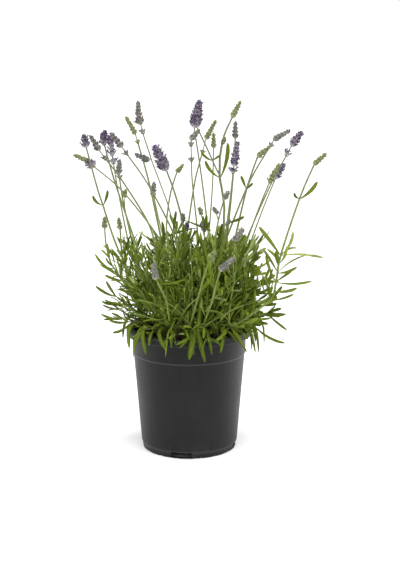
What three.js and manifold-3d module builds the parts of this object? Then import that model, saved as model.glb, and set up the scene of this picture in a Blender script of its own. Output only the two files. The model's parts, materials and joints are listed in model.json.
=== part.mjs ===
// Potted lavender: a bushy lavender plant, part in flower and part in bud, in a black plastic nursery pot.
// Lengths are millimetres and +Z is up. The origin is the centre of the pot's foot, where it stands.
// +X is the plant's right and -Y its front.
import * as THREE from 'three';
import { mergeVertices } from 'three/addons/utils/BufferGeometryUtils.js';
import Module from 'manifold-3d';

const wasm = await Module();
wasm.setup();

// Driving dimensions of the pot
const POT_HEIGHT = 166;
const LIP_RADIUS = 84.6;
const LIP_DROP = 9;
const LIP_WALL = 1.6;
const LIP_CHAMFER = 1.6;
const COLLAR_RADIUS = 76.1;
const COLLAR_FLARE = 0.7;
const COLLAR_BASE = 132;
const COLLAR_STEP = 1;
const WALL_FOOT_RADIUS = 65.1;
const FOOT_RADIUS = 63;
const FOOT_HEIGHT = 8;
const FOOT_RING = 4;
const PAD_RADIUS = 16;
const WALL = 1.5;
const EDGE = 1;
const FLOOR_HEIGHT = 5.5;
const POT_SIDES = 36;
const SLOTS = 4;
const SLOT_WIDTH = 28;
const SLOT_HEIGHT = 8.5;
const SLOT_REACH = 20;
const FIRST_SLOT_DEG = -99;

// Driving dimensions of the soil
const SOIL_TOP = 145;
const SOIL_RINGS = [55, 28];
const SOIL_SHOULDER = 3;
const SOIL_RELIEF = 2.4;
const SOIL_SWELL = { x: 0.17, xStart: 1.3, y: 0.15, yStart: -0.6 };
const SOIL_RIPPLE = { x: 0.31, y: -0.27, share: 0.6 };
const SOIL_SIDES = 18;
const SEAT = 0.5;
const HOLE_DEPTH = 16;
const HOLE_PLAY = 0.5;

// Driving dimensions of the stems
const BASE_RADIUS = 2.9;
const BASE_HEIGHT = 24;
const BASE_SIDES = 4;
const STEM_SIDES = 4;
const STALK_RADIUS = [1.8, 1.15];
const STALK_FOOT = 12;
const STALK_RISE = 27;
const STALK_RISE_LEAN = 0.12;
const STALK_BENDS = 2;
const SHOOT_RADIUS = [1.6, 0.9];
const SHOOT_FOOT = 5;
const SHOOT_FOOT_STEP = 5;
const SHOOT_BENDS = [1, 1, 2];
const JOINT_GAP = 0.3;

// A shoot's heel and knee: how far along they stand, as shares, and how much they are lifted
const HEEL_SHARE = 0.3;
const HEEL_LIFT = 3;
const KNEE_OUT = [0.34, 0.24];
const KNEE_UP = 0.42;
const KNEE_LIFT = 16;
const RIM_KNEE_OUT = 0.62;
const RIM_CLEARANCE = 7;

// Driving dimensions of the leaves
const LEAF_LENGTH = [29, 43];
const LEAF_WIDTH = 5.2;
const LEAF_KEEL = 1.1;
const LEAF_FOOT = 2.4;
const LEAF_SHARES = [0.58, 0.42];
const LEAF_SAG = [0.6, 0];
const LEAF_SAG_START = 0.4;
const LEAF_SAG_REACH = 20;
const LEAF_BALL_SHARE = 0.46;
const LEAF_BALL_ENDS = [1, 0.6];
const LEAF_SPREAD = {
  turn: [-0.12, 0.12],
  length: [0.88, 1.12],
  lean: [-11, 11],
  arch: [-26, 14],
  width: [0.88, 1.08],
};
const SIDE_LEAF = { length: 0.68, width: 0.85, steeper: 5 };
const TOP_LEAF_SHARE = 0.8;

// How the leaves stand along shoots and stalks
const LEAF_SPACING = 24;
const SPACING_SPREAD = [0.92, 1.08];
const SHOOT_LEAN_DEG = [56, 28];
const SHOOT_BARE_SHARE = 0.5;
const SHOOT_BARE_TIP = 2;
const STALK_LEAF_SPACING = 54;
const STALK_LEAN_DEG = 40;
const STALK_BARE_LENGTH = 45;
const STALK_BARE_SPREAD = 12;
const STALK_LEAFY_HEIGHT = 270;
const PAIR_WIDTH = [3.4, 6.6];
const PAIR_LONGEST = 40;

// How a leaf that would touch another is tried again: how often, and the step in turn, lean and length
const LEAF_TRIES = 5;
const TRY_TURN = 0.1;
const TRY_LEAN = 0.05;
const TRY_LENGTH = 0.04;

// The bush: a dome of shoot ends a little to the right of the pot, and a ring of shoots over the pot's rim
const DOME_SHOOTS = 32;
const DOME_MIDDLE = 10;
const DOME_RADIUS = 103;
const DOME_BASE = 184;
const DOME_TOP = 298;
const DOME_LOWEST = 0.02;
const DOME_SPREAD = { out: [0.92, 1.06], turn: [-0.2, 0.2], height: [0.9, 1.05] };
const RIM_SHOOTS = 14;
const RIM_SHOOT_REACH = 97;
const RIM_SHOOT_HEIGHT = 168;
const RIM_SIDE_LIFT = 16;
const RIM_SPREAD = { turn: [-0.2, 0.2], height: [-3, 6] };
const HANGING_HEIGHT = 178;
const MOST_SHOOTS_A_BRANCH = 4;
const NEAREST_BRANCHES = 3;
const ROOT_SPREAD = 0.52;
const CROWDING = 9;

// Flower heads: rings of florets, a slim stem inside, and each kind's greatest radius and whorl length
const FLORETS = 5;
const RACHIS = 1;
const HEADS = {
  violet: { radius: 6.9, whorl: 5.2 },
  dusk: { radius: 4.7, whorl: 5 },
  bud: { radius: 3.8, whorl: 5 },
};
const WHORL_PEAK = 0.68;
const WHORL_VALLEY = 0.58;
const WHORL_START = 0.4;
const HEAD_END = 1.2;
const HEAD_TAPER = 0.6;
const LONE_WHORL = { length: 4.6, radius: 0.72, room: 3 };
const SWELL = { foot: 0.82, middle: 0.18, reach: 1.6, tip: 0.42 };

// Free room between stems, in balls that stand along them
const CLEARANCE = 0.5;
const BALL_SPACING = 3;
const ROOT_BALLS = 4;
const OWN_ROOT_BALLS = 9;
const OWN_FOOT = 6;
const SHIFT_RINGS = 6;
const SHIFT_WAYS = 8;
const SHIFT_STEP = 2.6;
const SHIFT_TURN = 0.4;

const SLIVER = 0.02;
const MERGE = 1e-4;
const SCRAMBLE = [12.9898, 78.233, 43758.5453];
const GOLDEN_TURN = Math.PI * (3 - Math.sqrt(5));
const DEG = Math.PI / 180;

// The plant, one row for each leafy stem: where it stands in the soil, and its flower stalks.
// A stalk passes through via and neck and ends at tip. It grows from the woody base, or from the stalk
// before it where from names the fork. Its head fills the stretch from neck to tip,
// and apart lists how far below the neck its separate whorls of florets stand, some with their size.
// stout is the head's girth as a share of its kind's own.
// pairs lists leaf pairs on the bare upper stalk: the height where they grow, and the length, lean and
// arch of the left and the right leaf.
const BRANCHES = [
  { root: [-40, -14], stalks: [
    { via: [[-98, -14, 285]], neck: [-134, -12, 410], tip: [-136, -12, 424], head: 'violet',
      stout: 0.9, pairs: [[333, [18, 47, -40], [20, 45, -18]]] },
    { via: [[-102, -42, 262]], neck: [-108, -50, 308], tip: [-108, -52, 322], head: 'bud' },
  ] },
  { root: [-26, 16], stalks: [
    { via: [[-42, 20, 285]], neck: [-136, 36, 385], tip: [-155, 40, 393], head: 'bud', apart: [[8, 2.1]] },
  ] },
  { root: [-28, -32], stalks: [
    { via: [[-50, -44, 308]], neck: [-112, -74, 410], tip: [-122, -78, 428], head: 'dusk', apart: [13] },
    { via: [[-70, -42, 290]], neck: [-108, -58, 422], tip: [-106, -60, 431], head: 'violet', stout: 0.7,
      apart: [5] },
  ] },
  { root: [-44, 24], stalks: [
    { via: [[-84, 40, 279]], neck: [-107, 60, 405], tip: [-109, 62, 417], head: 'violet',
      stout: 0.65, apart: [[4, 1.4], [12, 1.5], [23, 1.4]] },
    { via: [[-80, 54, 278]], neck: [-98, 84, 364], tip: [-97, 88, 382], head: 'dusk', apart: [6] },
  ] },
  { root: [-10, -40], stalks: [
    { via: [[-18, -56, 297]], neck: [-82, -96, 416], tip: [-95, -100, 433], head: 'dusk', apart: [11] },
  ] },
  { root: [-22, 44], stalks: [
    { via: [[-39, 58, 276]], neck: [-75, 96, 417], tip: [-88, 100, 440], head: 'bud', apart: [12] },
    { via: [[-34, 82, 262]], neck: [-52, 114, 334], tip: [-50, 118, 347], head: 'dusk', apart: [5] },
  ] },
  { root: [-12, 0], stalks: [
    { via: [[-14, 2, 282], [-48, 5, 386]], neck: [-66, 8, 447], tip: [-66, 8, 466], head: 'dusk',
      apart: [[7, 1.7], 21] },
    { from: [-48, 5, 386], via: [], neck: [-53, -2, 390], tip: [-70, -6, 398], head: 'dusk' },
  ] },
  { root: [-2, -22], stalks: [
    { via: [[-6, -38, 302]], neck: [-29, -62, 386], tip: [-43, -66, 414], head: 'violet',
      stout: 1.2 },
    { via: [[-28, -66, 306]], neck: [-14, -90, 384], tip: [-6, -92, 393], head: 'bud',
      stout: 0.85 },
  ] },
  { root: [18, -10], stalks: [
    { via: [[46, -12, 290], [40, -14, 373]], neck: [10, -22, 436], tip: [14, -24, 468], head: 'violet',
      pairs: [[369, [29, 38, -28], [46, 36, -18]]] },
    { from: [40, -14, 373], via: [[41, -11, 398], [46, -5, 422]], neck: [57, 4, 446], tip: [68, 10, 466],
      head: 'bud' },
  ] },
  { root: [4, 26], stalks: [
    { via: [[27, 48, 275]], neck: [6, 82, 430], tip: [10, 86, 456], head: 'violet' },
    { via: [[12, 44, 279]], neck: [2, 66, 412], tip: [14, 70, 424], head: 'dusk', apart: [7, 28] },
  ] },
  { root: [0, 54], stalks: [
    { via: [[-4, 74, 276]], neck: [23, 116, 409], tip: [37, 120, 434], head: 'bud', apart: [20] },
    { via: [[26, 88, 268]], neck: [34, 134, 395], tip: [34, 138, 415], head: 'bud' },
  ] },
  { root: [22, 12], stalks: [
    { via: [[51, 24, 284]], neck: [62, 42, 416], tip: [62, 44, 437], head: 'dusk' },
  ] },
  { root: [18, -36], stalks: [
    { via: [[46, -54, 290]], neck: [57, -76, 391], tip: [61, -80, 420], head: 'violet', stout: 0.7,
      apart: [[8, 1.2]] },
    { via: [[34, -76, 300]], neck: [45, -98, 352], tip: [50, -100, 361], head: 'dusk',
      stout: 0.85 },
  ] },
  { root: [26, 36], stalks: [
    { via: [[50, 46, 276]], neck: [116, 74, 411], tip: [138, 78, 423], head: 'dusk', apart: [9] },
  ] },
  { root: [36, -8], stalks: [
    { via: [[60, -20, 286]], neck: [89, -32, 398], tip: [105, -34, 411], head: 'bud',
      pairs: [[356, [18, 44, -4], [10, 34, 0]]] },
  ] },
  { root: [42, 14], stalks: [
    { via: [[76, 10, 281]], neck: [136, 12, 409], tip: [149, 12, 426], head: 'violet', stout: 0.85,
      apart: [13] },
    { via: [[84, 34, 277]], neck: [118, 50, 362], tip: [129, 52, 380], head: 'violet', stout: 0.8 },
  ] },
  { root: [38, -30], stalks: [
    { via: [[75, -44, 288]], neck: [105, -60, 373], tip: [115, -62, 391], head: 'bud', apart: [[4, 1.3]] },
  ] },
  { root: [34, -50], stalks: [
    { via: [[102, -75, 211], [118, -70, 277]], neck: [162, -32, 388], tip: [177, -30, 401], head: 'bud',
      pairs: [[276, [46, 56, 0], [58, 74, 10]], [345, [11, 92, -50], [33, 33, -20]]] },
  ] },
  { root: [-24, -52], stalks: [
    { via: [[-28, -98, 222]], neck: [-40, -124, 256], tip: [-43, -126, 275], head: 'dusk' },
  ] },
  { root: [14, -58], stalks: [
    { via: [[30, -98, 222]], neck: [40, -126, 267], tip: [57, -130, 283], head: 'dusk' },
  ] },
  { root: [54, -8], stalks: [
    { via: [[58, -54, 240]], neck: [59, -68, 295], tip: [70, -70, 309], head: 'dusk' },
  ] },
  { root: [-3, -62], stalks: [
    { via: [[14, -96, 232]], neck: [26, -112, 276], tip: [33, -114, 288], head: 'bud' },
  ] },
  { root: [-56, 6], stalks: [
    { via: [[-90, 42, 240]], neck: [-95, 54, 291], tip: [-97, 56, 305], head: 'bud' },
  ] },
];

const MATERIALS = {
  pot: new THREE.MeshStandardMaterial({ color: 0x2d2d2f, roughness: 0.55, metalness: 0 }),
  soil: new THREE.MeshStandardMaterial({ color: 0x2a2019, roughness: 1, metalness: 0 }),
  leaf: new THREE.MeshStandardMaterial({ color: 0x5c7a33, roughness: 0.7, metalness: 0 }),
  violet: new THREE.MeshStandardMaterial({ color: 0x4d3f63, roughness: 0.85, metalness: 0 }),
  dusk: new THREE.MeshStandardMaterial({ color: 0x77718a, roughness: 0.85, metalness: 0 }),
  bud: new THREE.MeshStandardMaterial({ color: 0x7f9350, roughness: 0.85, metalness: 0 }),
};

const lavender = new THREE.Group();

// Small helpers

const vec = (values) => new THREE.Vector3(...values);
const mix = (a, b, share) => a + (b - a) * share;

// A repeatable number from 0 to 1 for a seed and a draw.
function draw(seed, k) {
  const x = Math.sin(seed * SCRAMBLE[0] + k * SCRAMBLE[1]) * SCRAMBLE[2];
  return x - Math.floor(x);
}

const drawFrom = (range, seed, k) => mix(range[0], range[1], draw(seed, k));

function toManifold(geometry) {
  const bare = new THREE.BufferGeometry();
  bare.setAttribute('position', geometry.getAttribute('position'));
  bare.setIndex(geometry.getIndex());
  const merged = mergeVertices(bare, MERGE);
  return new wasm.Manifold(new wasm.Mesh({
    numProp: 3,
    vertProperties: new Float32Array(merged.attributes.position.array),
    triVerts: new Uint32Array(merged.index.array),
  }));
}

function toGeometry(solid) {
  const mesh = solid.getMesh();
  const position = new Float32Array(mesh.numVert * 3);
  for (let i = 0; i < mesh.numVert; i++) {
    position.set(mesh.vertProperties.subarray(i * mesh.numProp, i * mesh.numProp + 3), i * 3);
  }
  const geometry = new THREE.BufferGeometry();
  geometry.setAttribute('position', new THREE.BufferAttribute(position, 3));
  geometry.setIndex(new THREE.BufferAttribute(new Uint32Array(mesh.triVerts), 1));
  geometry.computeVertexNormals();
  return geometry;
}

function addNode(name, geometry, material) {
  const mesh = new THREE.Mesh(geometry, material);
  mesh.name = name;
  lavender.add(mesh);
}

// A closed skin over rings of equal length, each counter-clockwise about the way the rings run.
// With a tip the skin ends in that point, and otherwise in a flat cap.
function loft(rings, tip) {
  const n = rings[0].length;
  const points = rings.flat();
  const faces = [];
  for (let j = 1; j < n - 1; j++) faces.push(0, j + 1, j);
  for (let i = 0; i < rings.length - 1; i++) {
    for (let j = 0; j < n; j++) {
      const a = i * n + j;
      const b = i * n + (j + 1) % n;
      faces.push(a, b, b + n, a, b + n, a + n);
    }
  }
  const last = (rings.length - 1) * n;
  if (tip) {
    points.push(tip);
    for (let j = 0; j < n; j++) faces.push(last + j, last + (j + 1) % n, points.length - 1);
  } else {
    for (let j = 1; j < n - 1; j++) faces.push(last, last + j, last + j + 1);
  }
  const geometry = new THREE.BufferGeometry().setFromPoints(points);
  geometry.setIndex(faces);
  return geometry;
}

// A smooth line through points, broken into straight bands: bends gives how many between two points.
// It gives the place and the way it runs at any length along it.
class Path {
  constructor(points, bends) {
    const curve = new THREE.CatmullRomCurve3(points);
    this.points = bends.flatMap((count, i) => (
      Array.from({ length: count }, (_, k) => curve.getPoint((i + k / count) / (points.length - 1)))
    ));
    this.points.push(points.at(-1).clone());
    this.lengths = [0];
    this.sides = [];
    for (let i = 1; i < this.points.length; i++) {
      this.lengths.push(this.lengths[i - 1] + this.points[i].distanceTo(this.points[i - 1]));
    }
    this.length = this.lengths.at(-1);
    let side = new THREE.Vector3(1, 0, 0);
    for (let i = 0; i < this.points.length; i++) {
      const run = this.runAt(i);
      side = side.clone().addScaledVector(run, -side.dot(run)).normalize();
      this.sides.push(side);
    }
  }

  runAt(i) {
    const a = this.points[Math.max(0, i - 1)];
    const b = this.points[Math.min(this.points.length - 1, i + 1)];
    return b.clone().sub(a).normalize();
  }

  // The place, way and side axis at a length along the path.
  at(length) {
    const s = Math.min(Math.max(length, 0), this.length);
    let i = 0;
    while (i < this.lengths.length - 2 && this.lengths[i + 1] < s) i++;
    const share = (s - this.lengths[i]) / (this.lengths[i + 1] - this.lengths[i]);
    const place = this.points[i].clone().lerp(this.points[i + 1], share);
    const run = this.runAt(i).lerp(this.runAt(i + 1), share).normalize();
    const side = this.sides[i].clone().lerp(this.sides[i + 1], share);
    side.addScaledVector(run, -side.dot(run)).normalize();
    return { place, run, side, up: run.clone().cross(side) };
  }

  ring(length, radius, sides, turn = 0) {
    const { place, side, up } = this.at(length);
    return Array.from({ length: sides }, (_, j) => {
      const angle = turn + (2 * Math.PI * j) / sides;
      return place.clone().addScaledVector(side, radius * Math.cos(angle))
        .addScaledVector(up, radius * Math.sin(angle));
    });
  }

  tube(to, radii, sides) {
    const stops = this.lengths.filter((length) => length < to - EDGE).concat(to);
    return loft(stops.map((s) => this.ring(s, mix(radii[0], radii[1], s / to), sides)));
  }
}

// The corners, as three numbers a triangle, of a blade: three sides from its foot to its widest place,
// first being the number of its keel point, and three from there to its tip.
function bladeFaces(foot, first) {
  return [0, 1, 2].flatMap((k) => {
    const l = (k + 1) % 3;
    const side = [foot[k], foot[l], first + l, foot[k], first + l, first + k];
    return [...side, first + k, first + l, first + 3];
  });
}

// A stem with leaves, in one skin. Each leafy joint is a short band that turns the stem's sides by half
// a side, so that every side has a triangle there, wide above and pointed below, for a leaf to grow from.
function leafyTube({ path, top, radii, turn, joints }) {
  const points = [];
  const faces = [];
  const half = Math.PI / STEM_SIDES;
  const isFree = (s) => joints.every((joint) => Math.abs(s - joint.s) > LEAF_SPACING / 2);
  const bends = path.lengths.filter((s) => s < top - EDGE && (s === 0 || isFree(s)));
  const stops = [
    ...bends.map((s) => ({ s })),
    ...joints.map(({ s }) => ({ s: s - LEAF_FOOT })),
    ...joints.map((joint) => ({ s: joint.s, joint })),
    { s: top },
  ].sort((a, b) => a.s - b.s);
  let angle = turn;
  for (const { s, joint } of stops) {
    if (joint) angle += half;
    points.push(...path.ring(s, mix(radii[0], radii[1], s / top), STEM_SIDES, angle));
  }
  const n = STEM_SIDES;
  stops.slice(1).forEach(({ joint }, i) => {
    for (let j = 0; j < n; j++) {
      const [a, b] = [i * n + j, i * n + ((j + 1) % n)];
      if (!joint) {
        faces.push(a, b, b + n, a, b + n, a + n);
        continue;
      }
      const foot = [b, b + n, a + n];
      const blade = joint.blades[j];
      faces.push(a, b, a + n, ...(blade ? bladeFaces(foot, points.length) : foot));
      if (blade) points.push(...blade);
    }
  });
  const last = (stops.length - 1) * n;
  for (let j = 1; j < n - 1; j++) faces.push(0, j + 1, j, last, last + j, last + j + 1);
  const geometry = new THREE.BufferGeometry().setFromPoints(points);
  geometry.setIndex(faces);
  return geometry;
}

// What is already placed, as balls along each stem, leaf and head, with the node that owns them.
const placed = [];

function ballsAlong(points, radii, owner) {
  const balls = [];
  for (let i = 0; i < points.length - 1; i++) {
    const steps = Math.max(1, Math.ceil(points[i].distanceTo(points[i + 1]) / BALL_SPACING));
    for (let k = 0; k <= steps; k++) {
      const radius = mix(radii[i], radii[i + 1], k / steps);
      balls.push({ at: points[i].clone().lerp(points[i + 1], k / steps), radius, owner });
    }
  }
  return balls;
}

function pathBalls(path, from, to, radii, owner) {
  const steps = Math.ceil((to - from) / BALL_SPACING);
  return Array.from({ length: steps + 1 }, (_, k) => ({
    at: path.at(mix(from, to, k / steps)).place, radius: mix(radii[0], radii[1], k / steps), owner,
  }));
}

// The pot's rim and the soil keep foliage out.
function meetsPot({ at, radius }) {
  const out = Math.hypot(at.x, at.y);
  const margin = radius + CLEARANCE;
  const overRim = out > COLLAR_RADIUS - 3 * WALL - margin && out < LIP_RADIUS + margin;
  if (overRim && at.z < POT_HEIGHT + margin) return true;
  return out <= COLLAR_RADIUS && at.z < SOIL_TOP + SOIL_RELIEF + margin;
}

// True if the balls keep clear of what other nodes own, or of everything that is placed if alone is set.
function isClear(balls, owner, alone = false) {
  return balls.every((ball) => placed.every((other) => {
    if (other.owner === owner && !alone) return true;
    const reach = ball.radius + other.radius + (other.owner === owner ? 0 : CLEARANCE);
    return ball.at.distanceToSquared(other.at) >= reach * reach;
  }));
}

// Pot

function potProfile() {
  const top = POT_HEIGHT;
  const wallTop = COLLAR_RADIUS - COLLAR_STEP;
  const collarTop = COLLAR_RADIUS + COLLAR_FLARE;
  const skirt = LIP_RADIUS - LIP_WALL;
  return [
    [0, 0],
    [PAD_RADIUS, 0],
    [PAD_RADIUS + 2 * EDGE, FLOOR_HEIGHT],
    [FOOT_RADIUS - FOOT_RING - EDGE, FLOOR_HEIGHT],
    [FOOT_RADIUS - FOOT_RING, 0],
    [FOOT_RADIUS, 0],
    [FOOT_RADIUS + EDGE, FOOT_HEIGHT - EDGE],
    [WALL_FOOT_RADIUS, FOOT_HEIGHT + 1.5 * EDGE],
    [wallTop, COLLAR_BASE - EDGE],
    [COLLAR_RADIUS, COLLAR_BASE],
    [collarTop, top - LIP_WALL - EDGE],
    [skirt, top - LIP_WALL - EDGE],
    [skirt, top - LIP_DROP],
    [LIP_RADIUS, top - LIP_DROP],
    [LIP_RADIUS, top - LIP_CHAMFER],
    [LIP_RADIUS - LIP_CHAMFER, top],
    [collarTop - EDGE / 2, top],
    [collarTop - WALL, top - WALL],
    [COLLAR_RADIUS - WALL, COLLAR_BASE],
    [WALL_FOOT_RADIUS - WALL, FOOT_HEIGHT + 2 * WALL],
    [FOOT_RADIUS - WALL, FLOOR_HEIGHT + WALL],
    [0, FLOOR_HEIGHT + WALL],
  ].map(([r, z]) => new THREE.Vector2(r, z));
}

// LatheGeometry turns about +Y, so it is stood up to turn about +Z.
const standUp = (geometry) => geometry.rotateX(Math.PI / 2);

function addPot() {
  let pot = toManifold(standUp(new THREE.LatheGeometry(potProfile(), POT_SIDES)));
  for (let k = 0; k < SLOTS; k++) {
    const slot = new THREE.BoxGeometry(SLOT_REACH, SLOT_WIDTH, 2 * SLOT_HEIGHT);
    slot.translate(FOOT_RADIUS, 0, 0);
    slot.rotateZ(FIRST_SLOT_DEG * DEG + (2 * Math.PI * k) / SLOTS);
    pot = pot.subtract(toManifold(slot));
  }
  addNode('pot', toGeometry(pot), MATERIALS.pot);
}

// Soil

// The soil's lumps, from -1 to 1: a broad swell each way, and a finer one across them.
function soilLump(x, y) {
  const alongX = Math.sin(x * SOIL_SWELL.x + SOIL_SWELL.xStart);
  const alongY = Math.cos(y * SOIL_SWELL.y + SOIL_SWELL.yStart);
  const ripple = Math.sin(x * SOIL_RIPPLE.x + y * SOIL_RIPPLE.y);
  return (alongX * alongY + SOIL_RIPPLE.share * ripple) / (1 + SOIL_RIPPLE.share);
}

function soilGeometry() {
  const edge = COLLAR_RADIUS - WALL - SEAT;
  const floor = FLOOR_HEIGHT + WALL + JOINT_GAP;
  const profile = [
    [0, floor],
    [FOOT_RADIUS - WALL - SEAT - 2 * EDGE, floor],
    [WALL_FOOT_RADIUS - WALL - SEAT, FOOT_HEIGHT + 2 * WALL + EDGE],
    [edge - COLLAR_FLARE / 3, COLLAR_BASE],
    [edge, SOIL_TOP - SOIL_SHOULDER],
    ...[...SOIL_RINGS, 0].map((r) => [r, SOIL_TOP]),
  ].map(([r, z]) => new THREE.Vector2(r, z));
  const geometry = standUp(new THREE.LatheGeometry(profile, SOIL_SIDES));
  const position = geometry.getAttribute('position');
  for (let i = 0; i < position.count; i++) {
    const z = position.getZ(i);
    if (z > SOIL_TOP - EDGE) {
      position.setZ(i, z + SOIL_RELIEF * soilLump(position.getX(i), position.getY(i)));
    }
  }
  return geometry;
}

function uprightPath([x, y], from, to) {
  const points = [from, mix(from, to, 0.5), to].map((z) => new THREE.Vector3(x, y, z));
  return new Path(points, [1, 1]);
}

function addSoil() {
  let soil = toManifold(soilGeometry());
  for (const { root } of BRANCHES) {
    const hole = uprightPath(root, SOIL_TOP - HOLE_DEPTH - JOINT_GAP, SOIL_TOP + HOLE_DEPTH);
    const radius = BASE_RADIUS + HOLE_PLAY;
    soil = soil.subtract(toManifold(hole.tube(hole.length, [radius, radius], BASE_SIDES)));
  }
  addNode('potting_soil', toGeometry(soil), MATERIALS.soil);
}

// Flower heads

// A head's outline swells above its foot and narrows to its tip.
function headSwell(share) {
  const belly = SWELL.middle * Math.sin(Math.PI * Math.min(1, share * SWELL.reach));
  return SWELL.foot + belly - SWELL.tip * share * share;
}

// Rings of a head, as [length along the head, radius, turn of the ring].
function headProfile({ head, stout = 1, apart = [] }, length) {
  const { whorl } = HEADS[head];
  const radius = HEADS[head].radius * stout;
  const lone = apart.map((entry) => [entry, 1].flat()).sort((a, b) => b[0] - a[0]);
  const lowest = lone.length ? lone[0][0] + LONE_WHORL.room * lone[0][1] : 0;
  const count = Math.max(3, Math.round(length / whorl));
  const pitch = length / (count + WHORL_START);
  const rings = [[0, RACHIS, 0]];
  const half = Math.PI / FLORETS;
  let turn = 0;
  for (const [below, size] of lone) {
    const long = LONE_WHORL.length * Math.sqrt(size);
    const start = lowest - below - long / 2;
    rings.push([start, RACHIS, turn]);
    turn += half;
    rings.push([start + WHORL_PEAK * long, radius * LONE_WHORL.radius * size, turn]);
    rings.push([start + long, RACHIS, turn]);
  }
  for (let i = 0; i < count; i++) {
    const start = lowest + i * pitch + WHORL_START;
    const swell = headSwell((i + 1) / count);
    rings.push([start, radius * swell * WHORL_VALLEY, turn]);
    turn += half;
    rings.push([start + WHORL_PEAK * pitch, radius * swell, turn]);
  }
  return { rings, lowest };
}

function addHead(name, stalk) {
  const begin = stalk.path.length - stalk.headLength + JOINT_GAP / 2;
  const skin = stalk.profile.rings.map(([s, radius, turn]) => (
    stalk.path.ring(begin + s, radius, FLORETS, turn)
  ));
  const tip = stalk.path.at(stalk.path.length);
  const apex = tip.place.clone().addScaledVector(tip.run, HEAD_END);
  addNode(name, loft(skin, apex), MATERIALS[stalk.head]);
}

// Stems

// The ways to shift a stem's middle, nearest first, until it clears the others.
const SHIFTS = [[0, 0]];
for (let ring = 1; ring <= SHIFT_RINGS; ring++) {
  for (let k = 0; k < SHIFT_WAYS; k++) {
    const angle = (2 * Math.PI * k) / SHIFT_WAYS + ring * SHIFT_TURN;
    SHIFTS.push([SHIFT_STEP * ring * Math.cos(angle), SHIFT_STEP * ring * Math.sin(angle)]);
  }
}

function stalkPath({ root }, { from, via, neck, tip }, [dx, dy]) {
  const middle = via.map(vec);
  if (from) return new Path([vec(from), ...middle, vec(neck), vec(tip)], [...middle.map(() => 1), 1, 1]);
  middle[0].add(new THREE.Vector3(dx, dy, 0));
  const start = new THREE.Vector3(...root, SOIL_TOP + STALK_FOOT);
  const rise = new THREE.Vector3(...root, SOIL_TOP + STALK_RISE);
  rise.lerp(new THREE.Vector3(middle[0].x, middle[0].y, rise.z), STALK_RISE_LEAN);
  const bends = [1, ...middle.map(() => STALK_BENDS), STALK_BENDS, 1];
  return new Path([start, rise, ...middle, vec(neck), vec(tip)], bends);
}

function layStalk(branch, spec, owner) {
  const dense = vec(spec.neck).distanceTo(vec(spec.tip));
  const profile = headProfile(spec, dense);
  const headLength = dense + profile.lowest;
  const fat = HEADS[spec.head].radius;
  for (const shift of SHIFTS) {
    const path = stalkPath(branch, spec, shift);
    const top = path.length - headLength - JOINT_GAP / 2;
    const balls = pathBalls(path, 0, top, STALK_RADIUS, owner)
      .concat(pathBalls(path, top, path.length, [fat, fat * HEAD_TAPER], owner));
    if (isClear(balls, owner)) {
      placed.push(...balls);
      return { ...spec, path, top, headLength, profile, owner, radii: STALK_RADIUS, turn: 0, joints: [] };
    }
  }
  throw new Error(`no clear way for the stalk that ends at ${spec.tip}`);
}

const roundAxis = (angle, out, z) => new THREE.Vector3(out * Math.cos(angle), out * Math.sin(angle), z);

// Where the leafy shoots end: points spread evenly over the dome of the bush, and some over the pot's rim.
// Those over the rim hang at the front and back, and stand higher at the sides.
function shootEnds() {
  const dome = Array.from({ length: DOME_SHOOTS }, (_, k) => {
    const rise = mix(DOME_LOWEST, 1, (k + 0.5) / DOME_SHOOTS);
    const out = Math.sqrt(1 - rise * rise) * DOME_RADIUS * drawFrom(DOME_SPREAD.out, k, 1);
    const angle = k * GOLDEN_TURN + drawFrom(DOME_SPREAD.turn, k, 2);
    const height = rise * (DOME_TOP - DOME_BASE) * drawFrom(DOME_SPREAD.height, k, 3);
    const end = roundAxis(angle, out, DOME_BASE + height);
    end.x += DOME_MIDDLE;
    return end;
  });
  const rim = Array.from({ length: RIM_SHOOTS }, (_, k) => {
    const angle = (2 * Math.PI * (k + drawFrom(RIM_SPREAD.turn, k, 4))) / RIM_SHOOTS;
    const lift = RIM_SIDE_LIFT * Math.cos(angle) ** 2 + drawFrom(RIM_SPREAD.height, k, 5);
    return roundAxis(angle, RIM_SHOOT_REACH, RIM_SHOOT_HEIGHT + lift);
  });
  return rim.concat(dome);
}

// A shoot leaves the woody base steeply and then leans out, or bends over the pot's rim where it ends low.
function shootPath({ root, shoots }, end, shift) {
  const foot = new THREE.Vector3(...root, SOIL_TOP + SHOOT_FOOT + SHOOT_FOOT_STEP * shoots.length);
  const out = new THREE.Vector3(end.x - foot.x, end.y - foot.y, 0);
  const hangs = end.z < HANGING_HEIGHT;
  const steep = (end.z - foot.z) / end.distanceTo(foot);
  const knee = foot.clone().addScaledVector(out, hangs ? RIM_KNEE_OUT : mix(...KNEE_OUT, steep));
  knee.z = hangs ? POT_HEIGHT + RIM_CLEARANCE : mix(foot.z, end.z, KNEE_UP) + (1 - steep) * KNEE_LIFT;
  knee.x += shift[0];
  knee.y += shift[1];
  const heel = foot.clone().lerp(knee, HEEL_SHARE);
  heel.z += HEEL_LIFT;
  return new Path([foot, heel, knee, end], SHOOT_BENDS);
}

// The branches nearest to a shoot's end, counted from half way out to it, with crowded ones put back.
function branchesNear(branches, end) {
  const far = ({ root, shoots }) => (
    Math.hypot(end.x * ROOT_SPREAD - root[0], end.y * ROOT_SPREAD - root[1]) + CROWDING * shoots.length
  );
  return branches
    .filter(({ shoots }) => shoots.length < MOST_SHOOTS_A_BRANCH)
    .sort((a, b) => far(a) - far(b))
    .slice(0, NEAREST_BRANCHES);
}

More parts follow.
